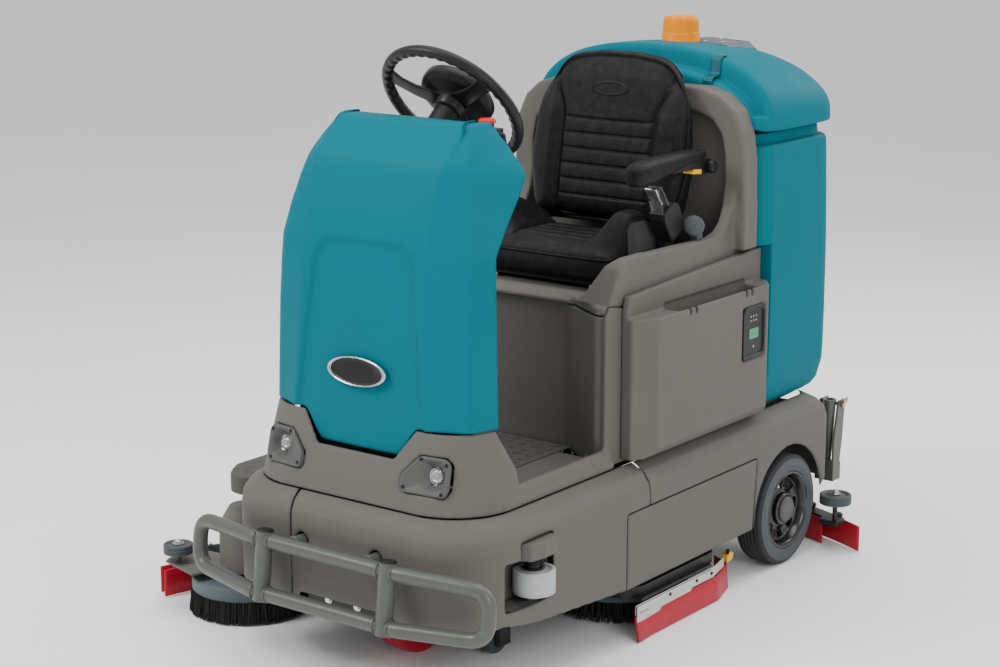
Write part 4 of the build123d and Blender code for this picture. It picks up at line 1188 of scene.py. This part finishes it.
def make_tank():
    bm = bmesh.new()
    rows = [tank_ring(z, True) for z in (470, 473, 480, 490, 500, 550, 600, 660, 720, 790, 850, 900, 924)]
    rows.append([Vector((p.x, p.y, 931)) for p in rows[-1]])
    rows += [tank_ring(z, False) for z in (932, 936, 960, 1000, 1050, 1100, 1150, 1180, 1192, 1197, 1201,
        1204, 1205.5, 1208, 1220, 1234)]
    add_loft(bm, rows)
    tank = stand_in("recovery_tank_moulded", bm, "teal", "recovery_tank")
    soft = tank.modifiers.new("ease", "BEVEL")
    soft.width = 0.004
    soft.segments = 3
    soft.limit_method = "ANGLE"
    soft.angle_limit = radians(40)


LID = [    # y: half width, crown height, lower edge height
    (1001, 362, 1440, 1252), (1006, 372, 1447, 1248), (1020, 381, 1451.5, 1243),
    (1080, 388, 1452, 1240), (1200, 391, 1449, 1240), (1300, 390, 1441, 1240),
    (1360, 385, 1424, 1240), (1400, 372, 1400, 1241), (1420, 352, 1376, 1244),
    (1431, 322, 1350, 1250), (1434.5, 290, 1325, 1258)]


def lid_point(y, t):
    """Point over the lid's arch, t from 0 at one lower edge to 1 at the other."""
    half, top, low = spline(LID, y)
    a = pi * t
    c, s = cos(a), sin(a)
    x = half * copysign(abs(c) ** (2 / 2.5), c)
    z = low + 26 + (top - low - 26) * abs(s) ** (2 / 2.05)
    edge = smoothstep(0.0, 0.018, min(t, 1 - t))
    shelf = (1 - smoothstep(1042, 1052, y)) * smoothstep(1270, 1340, z)
    return Vector((x * (1 - 0.04 * shelf), y, low + (z - low) * edge - 52 * shelf))


def make_lid():
    bm = bmesh.new()
    stations = [1001, 1003, 1006, 1012, 1020, 1034, 1040, 1043, 1045, 1047, 1049, 1051, 1054, 1060, 1080,
        1140, 1200, 1260, 1300, 1330, 1360, 1385, 1400, 1412, 1420, 1427, 1431, 1434.5]
    ts = [0, 0.006, 0.012, 0.02, 0.03] + [0.045 + 0.91 * k / 70 for k in range(71)] + [0.97, 0.98, 0.988,
        0.994, 1]
    rows = [[lid_point(y, t) for t in ts] for y in stations]

    def closing(row, y):
        """Rows that shut the end of the lid, each smaller than the one before."""
        c = sum(row, Vector()) / len(row)
        return [[Vector((c.x + (p.x - c.x) * s, y, 1262 + (p.z - 1262) * s if p.z > 1262 else p.z))
            for p in row] for s in (0.97, 0.8, 0.5, 0.2, 0.01)]

    add_grid(bm, closing(rows[0], 1001)[::-1] + rows + closing(rows[-1], 1434.8))
    lid = stand_in("tank_lid_moulded", bm, "teal", "tank_lid")
    relaxed(lid, 2)
    thicken(lid, 0.006, 1.0)
    bm = bmesh.new()
    path = bent([(998, 1330), (999, 1378), (1038, 1384), (1046, 1428), (1056, 1434), (1076, 1434)],
        [12, 12, 8, 8], 6)
    rows = []
    for i, p in enumerate(path):
        d = (path[min(i + 1, len(path) - 1)] - path[max(i - 1, 0)]).normalized()
        up = Vector((-d.y, d.x)) * 4.5
        rows.append([Vector((x, p.x + up.x * h, p.y + up.y * h)) for x, h in ((203, 0), (201, 0.5),
            (204, 1), (230, 1), (233, 0.5), (231, 0))])
    add_loft(bm, rows)
    extra("lid_latch_strap", bm, "teal_dark", "lid", smooth=False)


def make_beacon():
    bm = bmesh.new()
    profile = [(56, 0), (56, 4), (54.6, 7), (53.4, 26), (52.6, 27.5), (51.8, 28), (51.4, 30), (50, 60),
        (48, 68), (42, 73), (30, 75.2), (0.1, 75.7)]
    add_lathe(bm, profile, (*BEACON, 1451.2), UP, 96, ring=lambda r, a, t: r + (0.45 * cos(36 * a)
        if 7 < t < 60 else 0))
    stand_in("beacon_dome", bm, "amber", "beacon_lens")
    bm = bmesh.new()
    add_lathe(bm, [(0.1, 0), (14, 0), (17, 8), (15, 44), (6, 50), (0.1, 50)], (*BEACON, 1452), UP, 32)
    extra("beacon_lamp", bm, "chrome", "lid")
    bm = bmesh.new()
    add_lathe(bm, [(0.1, 0), (58, 0), (59.5, 3), (58, 6), (56.5, 7.2), (0.1, 7.2)], (*BEACON, 1445), UP, 64)
    extra("beacon_collar", bm, "dark", "lid")


for label, hand in (("left", 1), ("right", -1)):
    make_rear_wheel(label, hand)
make_drive_wheel()
make_rollers()
make_bumper()
make_lamps()
make_tank()
make_lid()
make_beacon()

# ---------------------------------------------------------------- ribbons: blades and straps
def add_ribbon(bm, path, profile, lean=None):
    """Carry a closed profile of (offset, height) along a plan path; lean(t) shifts its foot outwards."""
    last = len(path) - 1
    top = max(h for _, h in profile)
    low = min(h for _, h in profile)
    rows = []
    for i, p in enumerate(path):
        d = (path[min(i + 1, last)] - path[max(i - 1, 0)]).normalized()
        side = Vector((d.y, -d.x))
        shift = lean(i / last) if lean else 0.0
        rows.append([Vector((*(p + side * (o + shift * (top - h) / (top - low))), h)) for o, h in profile])
    add_loft(bm, rows)


def spaced(points, step=8.0):
    out = []
    for a, b in zip(points, points[1:]):
        parts = max(1, int((b - a).length / step))
        out += [a.lerp(b, k / parts) for k in range(parts)]
    return out + [points[-1]]


def plate_profile(low, high, thick, edge=1.0):
    return [(-thick / 2, low + edge), (-thick / 2 + edge, low), (thick / 2 - edge, low),
        (thick / 2, low + edge), (thick / 2, high - edge), (thick / 2 - edge, high), (-thick / 2 + edge,
        high), (-thick / 2, high - edge)]


def make_side_squeegees():
    blades, straps, latches, pins = (bmesh.new() for _ in range(4))
    for sign in (-1, 1):
        path = spaced(bent([(427, 362), (427, 760), (392, 872), (330, 905)], [90, 55], 10))
        ribbon = [Vector((sign * p.x, p.y)) for p in path]
        add_ribbon(blades, ribbon, plate_profile(3, 69, 5, 1.2), lambda t, s=sign: s
            * (5.5 + 5 * smoothstep(0.12, 0.0, t)))
        line = spaced(bent([(426.5, 364), (426.5, 742), (404, 832)], [90], 10))
        band = [Vector((sign * p.x, p.y)) for p in line]
        add_ribbon(straps, band, plate_profile(72, 99, 2.6, 0.6))
        edge = [(366, 52), (470, 58), (478, 66), (620, 68), (628, 76), (742, 78), (742, 97), (366, 97)]
        add_slab(straps, rounded(edge, 4, 4), *span(sign, 429.8, 431.8), on_side, 0.5)
        for y in range(378, 420, 11):
            add_lathe(pins, [(0.1, 0), (2.2, 0), (2.2, 0.9), (0.1, 1.2)], (sign * 431.6, y, 78),
                (sign, 0, 0), 12)
        for y in (520, 650, 725):
            add_lathe(pins, [(0.1, 0), (5, 0), (5, 1.2), (3.5, 2.6), (0.1, 3)], (sign * 431.6, y, 88),
                (sign, 0, 0), 20)
        add_slab(latches, rounded([(872, 68), (902, 72), (906, 92), (884, 96), (872, 86)], 5, 4),
            *span(sign, 372, 392), on_side, 2)
        add_drum(pins, 5, 12, (sign * 388, 880, 92), UP, 20)
    stand_in("side_squeegee_blades", blades, "red_urethane", "side_squeegees")
    extra("side_squeegee_straps", straps, "steel", "scrub_head", smooth=False)
    extra("side_squeegee_pins", pins, "black_paint", "scrub_head")
    extra("side_squeegee_latches", latches, "yellow", "scrub_head", smooth=False)


def make_side_blades():
    bm = bmesh.new()
    near = [(-779, -126), (-752, -20), (-700, 90), (-600, 165), (-470, 185)]
    far = [(-812, -108), (-779, -12), (-722, 106), (-610, 187), (-474, 207)]
    for points in (near, far):
        add_ribbon(bm, spaced(bent(points, 60, 8)), plate_profile(3, 78, 4, 1))
    stand_in("side_blades_red", bm, "red_urethane", "side_blade")
    rail = bmesh.new()
    path = spaced(bent([(-782, -88), (-766, -16), (-711, 98), (-605, 176), (-480, 195)], 60, 8))
    add_ribbon(rail, path, plate_profile(60, 117, 9, 1.5))
    extra("side_blade_rail", rail, "grey_roller", "side_arm")
    nuts = bmesh.new()
    for k in (6, 20, 36, 50, 64):
        p = path[min(k, len(path) - 1)]
        add_lathe(nuts, [(0.1, 0), (7, 0), (7, 5), (5, 8), (0.1, 8)], (p.x, p.y, 117), UP, 20)
    extra("side_blade_nuts", nuts, "steel", "side_arm")


def squeegee_arc(shift, reach):
    """Plan points along the rear squeegee's arc; shift moves it outwards, reach is its half width."""
    radius = (SQUEEGEE_HALF ** 2 + SQUEEGEE_SAG ** 2) / (2 * SQUEEGEE_SAG)
    angle = asin(reach / radius)
    path = []
    for k in range(97):
        a = -angle + 2 * angle * k / 96
        path.append(Vector(((radius + shift) * sin(a), SQUEEGEE_CROWN_Y - radius + (radius + shift)
            * cos(a))))
    return path


def make_rear_blades():
    bm = bmesh.new()
    for shift, reach in ((7.5, SQUEEGEE_HALF), (-39.5, SQUEEGEE_HALF - 105)):
        add_ribbon(bm, squeegee_arc(shift, reach), plate_profile(3, 78, 5, 1.2))
    stand_in("rear_squeegee_red", bm, "red_urethane", "squeegee_blades")
    bm = bmesh.new()
    path = [p - Vector((0, 1.4)) for p in squeegee_arc(11.4, 500)]
    add_ribbon(bm, path, plate_profile(58, 76, 2.0, 0.5))
    extra("rear_squeegee_band", bm, "steel", "squeegee")
    bm = bmesh.new()
    for x in (-470, -360, 360, 470):
        y = SQUEEGEE_CROWN_Y - SQUEEGEE_SAG * (x / SQUEEGEE_HALF) ** 2 - 16
        add_lathe(bm, [(0.1, 0), (9, 0), (9, 6), (13, 8), (13, 16), (9, 20), (0.1, 20)], (x, y, 84), UP, 36,
            ring=lambda r, a, t: r + (1.3 * cos(6 * a) if r > 12 else 0))
    extra("rear_squeegee_knobs", bm, "dark", "squeegee")


# ---------------------------------------------------------------- brushes
def add_bristles(bm, centre, low, high, inner, outer, count, seed, splay):
    """Tufts of filament: thin tapered blades that lean outwards a little."""
    rng = random.Random(seed)
    for k in range(count):
        a = 2 * pi * (k + rng.random()) / count
        r = inner + (outer - inner) * sqrt(rng.random())
        lean = splay * ((r - inner) / (outer - inner)) ** 2 + rng.uniform(-3, 3)
        turn = rng.uniform(-0.03, 0.03)
        width = rng.uniform(1.4, 2.4)
        foot = low + rng.uniform(0, 4)
        root = Vector((centre[0] + r * 0.96 * cos(a), centre[1] + r * 0.96 * sin(a), high))
        tip_r = min(r * 0.96 + lean, outer)
        tip = Vector((centre[0] + tip_r * cos(a + turn), centre[1] + tip_r * sin(a + turn), foot))
        mid = root.lerp(tip, 0.5) - Vector((cos(a), sin(a), 0)) * lean * 0.12
        rows = []
        for p, w in ((root, width), (mid, width), (tip, width * 0.7)):
            rows.append([p + Vector((cos(b), sin(b), 0)) * w for b in (0.3, 2.4, 4.5)])
        add_loft(bm, rows)


HUB_TOP = 138


def make_brush(name, node, centre, plate_low, plate_high, inner, outer, count, seed, plate_radius, hub_r):
    body = BODY_OF[node]
    bm = bmesh.new()
    add_bristles(bm, centre, 3, plate_low + 1, inner, outer, count, seed, outer * 0.08)
    from_bmesh(name + "_bristles", bm, "bristle", body, (node,), False, False)
    bm = bmesh.new()
    add_lathe(bm, [(0.1, plate_low), (inner * 0.5, plate_low), (plate_radius - 3, plate_low), (plate_radius,
        plate_low + 3), (plate_radius, plate_high - 4), (plate_radius - 2, plate_high - 1),
        (plate_radius - 8, plate_high), (plate_radius * 0.62, plate_high), (plate_radius * 0.58,
        plate_high - 2), (hub_r + 8, plate_high - 2), (hub_r, plate_high), (hub_r, HUB_TOP),
        (0.1, HUB_TOP)], (*centre, 0), UP, 96)
    extra(name + "_block", bm, "beacon_grey", body)


# ---------------------------------------------------------------- charger panel, liners and small parts
def make_charger():
    bm = bmesh.new()
    frame_outline = pane(868, 984, 642, 788, 20, 8)
    rows = []
    for scale, x in ((1.0, 421), (1.0, 426.6), (0.985, 428), (0.86, 428), (0.84, 426), (0.835, 424)):
        rows.append([Vector((x, 926 + (p.x - 926) * scale, 715 + (p.y - 715) * scale))
            for p in frame_outline])
    rows.append([Vector((424.2, 926 + (p.x - 926) * 0.02, 715 + (p.y - 715) * 0.02))
        for p in frame_outline])
    add_grid(bm, rows, True)
    stand_in("charger_bezel", bm, "dark", "charger_panel", False)
    bm = bmesh.new()
    add_slab(bm, pane(902, 950, 698, 726, 4, 4), 423.6, 425.4, on_side, 0.5)
    extra("charger_display", bm, "display", "chassis", smooth=False)
    bm = bmesh.new()
    for row in range(2):
        for col in range(3):
            add_lathe(bm, [(0.1, 0), (2.6, 0), (2.6, 0.8), (0.1, 1.2)], (424, 910 + 14 * col, 748 + 12
                * row), LEFT, 12)
    add_lathe(bm, [(0.1, 0), (3.4, 0), (3.4, 1), (0.1, 1.4)], (424, 926, 676), LEFT, 16)
    extra("charger_lamps", bm, "lamp_dots", "chassis")


def make_liners():
    """Grey skin for the roller pocket, and black sheets behind the open joints that paint in the shade
    there, so that no light shows through the shells.
    """
    bm = bmesh.new()
    pocket = [(-171, 233), (7, 233), (7, 351), (-171, 351)]
    rows = [[Vector((x, y, z)) for y, z in pocket] for x in (404, 357)]
    add_grid(bm, rows, True)
    bm.faces.new([bm.verts.new(Vector((357, y, z)) / 1000) for y, z in pocket])
    pocket_skin = from_bmesh("roller_pocket", bm, "grey", "chassis", (), False)
    thicken(pocket_skin, 0.002, 0.0)
    # Black sheets behind the open joints: painted shade in the gaps, standing in for the dark interior.
    bm = bmesh.new()
    for sign in (-1, 1):
        outline = pane(312, 985, 160, 366, 6, 3)
        add_slab(bm, outline, *span(sign, 409, 412), on_side, 0.5)
    plate = rounded([(-215, 520), (215, 520), (205, 690), (-205, 690)], 10, 3)
    add_slab(bm, plate, -192, -189, on_front, 0.5)
    add_slab(bm, rounded([(-362, 1006), (362, 1006), (340, 1340), (-340, 1340)], 40, 6), 459, 467, on_plan,
        0.5)
    for sign in (-1, 1):
        band = bent([(413, 170), (413, 384), (406, 406), (389, 426), (358, 446)], [8, 8, 8], 4)
        add_grid(bm, [[Vector((sign * p.x, y, p.y)) for p in band] for y in (418, 444)])
    extra("painted_shade_skins", bm, "black_paint", "chassis", smooth=False)


def make_small_parts():
    bm = bmesh.new()
    for x in (427.5, 361):
        add_nut(bm, (x, 1443), 405, 9.5, 7, (1 if x > 400 else -1, 0, 0))
    wing = rounded([(1433, 410), (1453, 410), (1457, 428), (1448, 424), (1443, 414), (1438, 424),
        (1429, 428)], 2, 3)
    add_slab(bm, wing, 434, 439, on_side, 0.6)
    extra("rear_bracket_nuts", bm, "brass", "chassis", smooth=False)
    bm = bmesh.new()
    add_lathe(bm, [(0.1, 0), (20, 0), (27, 4), (29, 12), (27, 20), (20, 25), (8, 27), (0.1, 27)],
        (318, 780, 1012), (0.5, -0.75, 0.35), 48)
    add_slab(bm, rounded([(770, 976), (800, 976), (794, 1012), (776, 1012)], 5, 4), 312, 336, on_side, 2)
    extra("deck_lever", bm, "grey_roller", "deck")
    bm = bmesh.new()
    for x, y in ((64, 1230), (122, 1230), (64, 1316), (122, 1316)):
        add_lathe(bm, [(0.1, 0), (5, 0), (5, 2), (3, 3), (0.1, 3)], (x, y, 1454), UP, 16)
    extra("beacon_base_screws", bm, "steel", "lid")


make_side_squeegees()
make_side_blades()
make_rear_blades()
make_brush("side_brush", "side_brush", (-550, -35), 62, 100, 60, 160, 3000, 7, 152, 14)
for label, hand in (("left", 1), ("right", -1)):
    make_brush("disc_" + label, "disc_brush_" + label, (hand * 205, 600), 60, 78, 90, 196, 1200, 11 + hand,
        196, 20)
make_charger()
make_liners()
make_small_parts()
for node in ("side_brush_arm", "side_step", "console_panel"):
    softened(node, 0.003, 5, 0.4)

# ---------------------------------------------------------------- floor and light
def make_floor():
    bm = bmesh.new()
    reach = 60.0
    bm.faces.new([bm.verts.new((x * reach, y * reach, 0.0)) for x, y in ((-1, -1), (1, -1), (1, 1),
        (-1, 1))])
    mesh = bpy.data.meshes.new("studio_floor")
    bm.to_mesh(mesh)
    bm.free()
    floor = bpy.data.objects.new("studio_floor", mesh)
    bpy.context.scene.collection.objects.link(floor)
    g = Graph("studio_white")
    haze = g.noise(0.8, 2.0)
    mesh.materials.append(g.surface(g.drift(haze, 0.3, 0.7, 1, (0.90, 0.90, 0.90), (0.93, 0.93, 0.93)),
        0.75))


def area_light(name, place, target, size, power):
    data = bpy.data.lights.new(name, "AREA")
    data.shape = "RECTANGLE"
    data.size, data.size_y = size
    data.energy = power
    light = bpy.data.objects.new(name, data)
    light.location = place
    light.rotation_euler = (Vector(target) - Vector(place)).to_track_quat("-Z", "Y").to_euler()
    bpy.context.scene.collection.objects.link(light)


make_floor()
CENTRE = (0, 0.5, 0.7)
area_light("key", (-2.6, -3.4, 4.4), CENTRE, (2.2, 2.2), 230)
area_light("fill", (4.2, -1.5, 2.6), CENTRE, (2.5, 2.5), 90)
area_light("top", (0.2, 0.8, 5.0), CENTRE, (4.0, 4.0), 170)
area_light("rear", (1.5, 4.6, 3.2), CENTRE, (3.0, 2.0), 90)
world = bpy.data.worlds.new("studio")
world.use_nodes = True
background = world.node_tree.nodes["Background"]
background.inputs["Color"].default_value = (1, 1, 1, 1)
background.inputs["Strength"].default_value = 0.85
bpy.context.scene.world = world
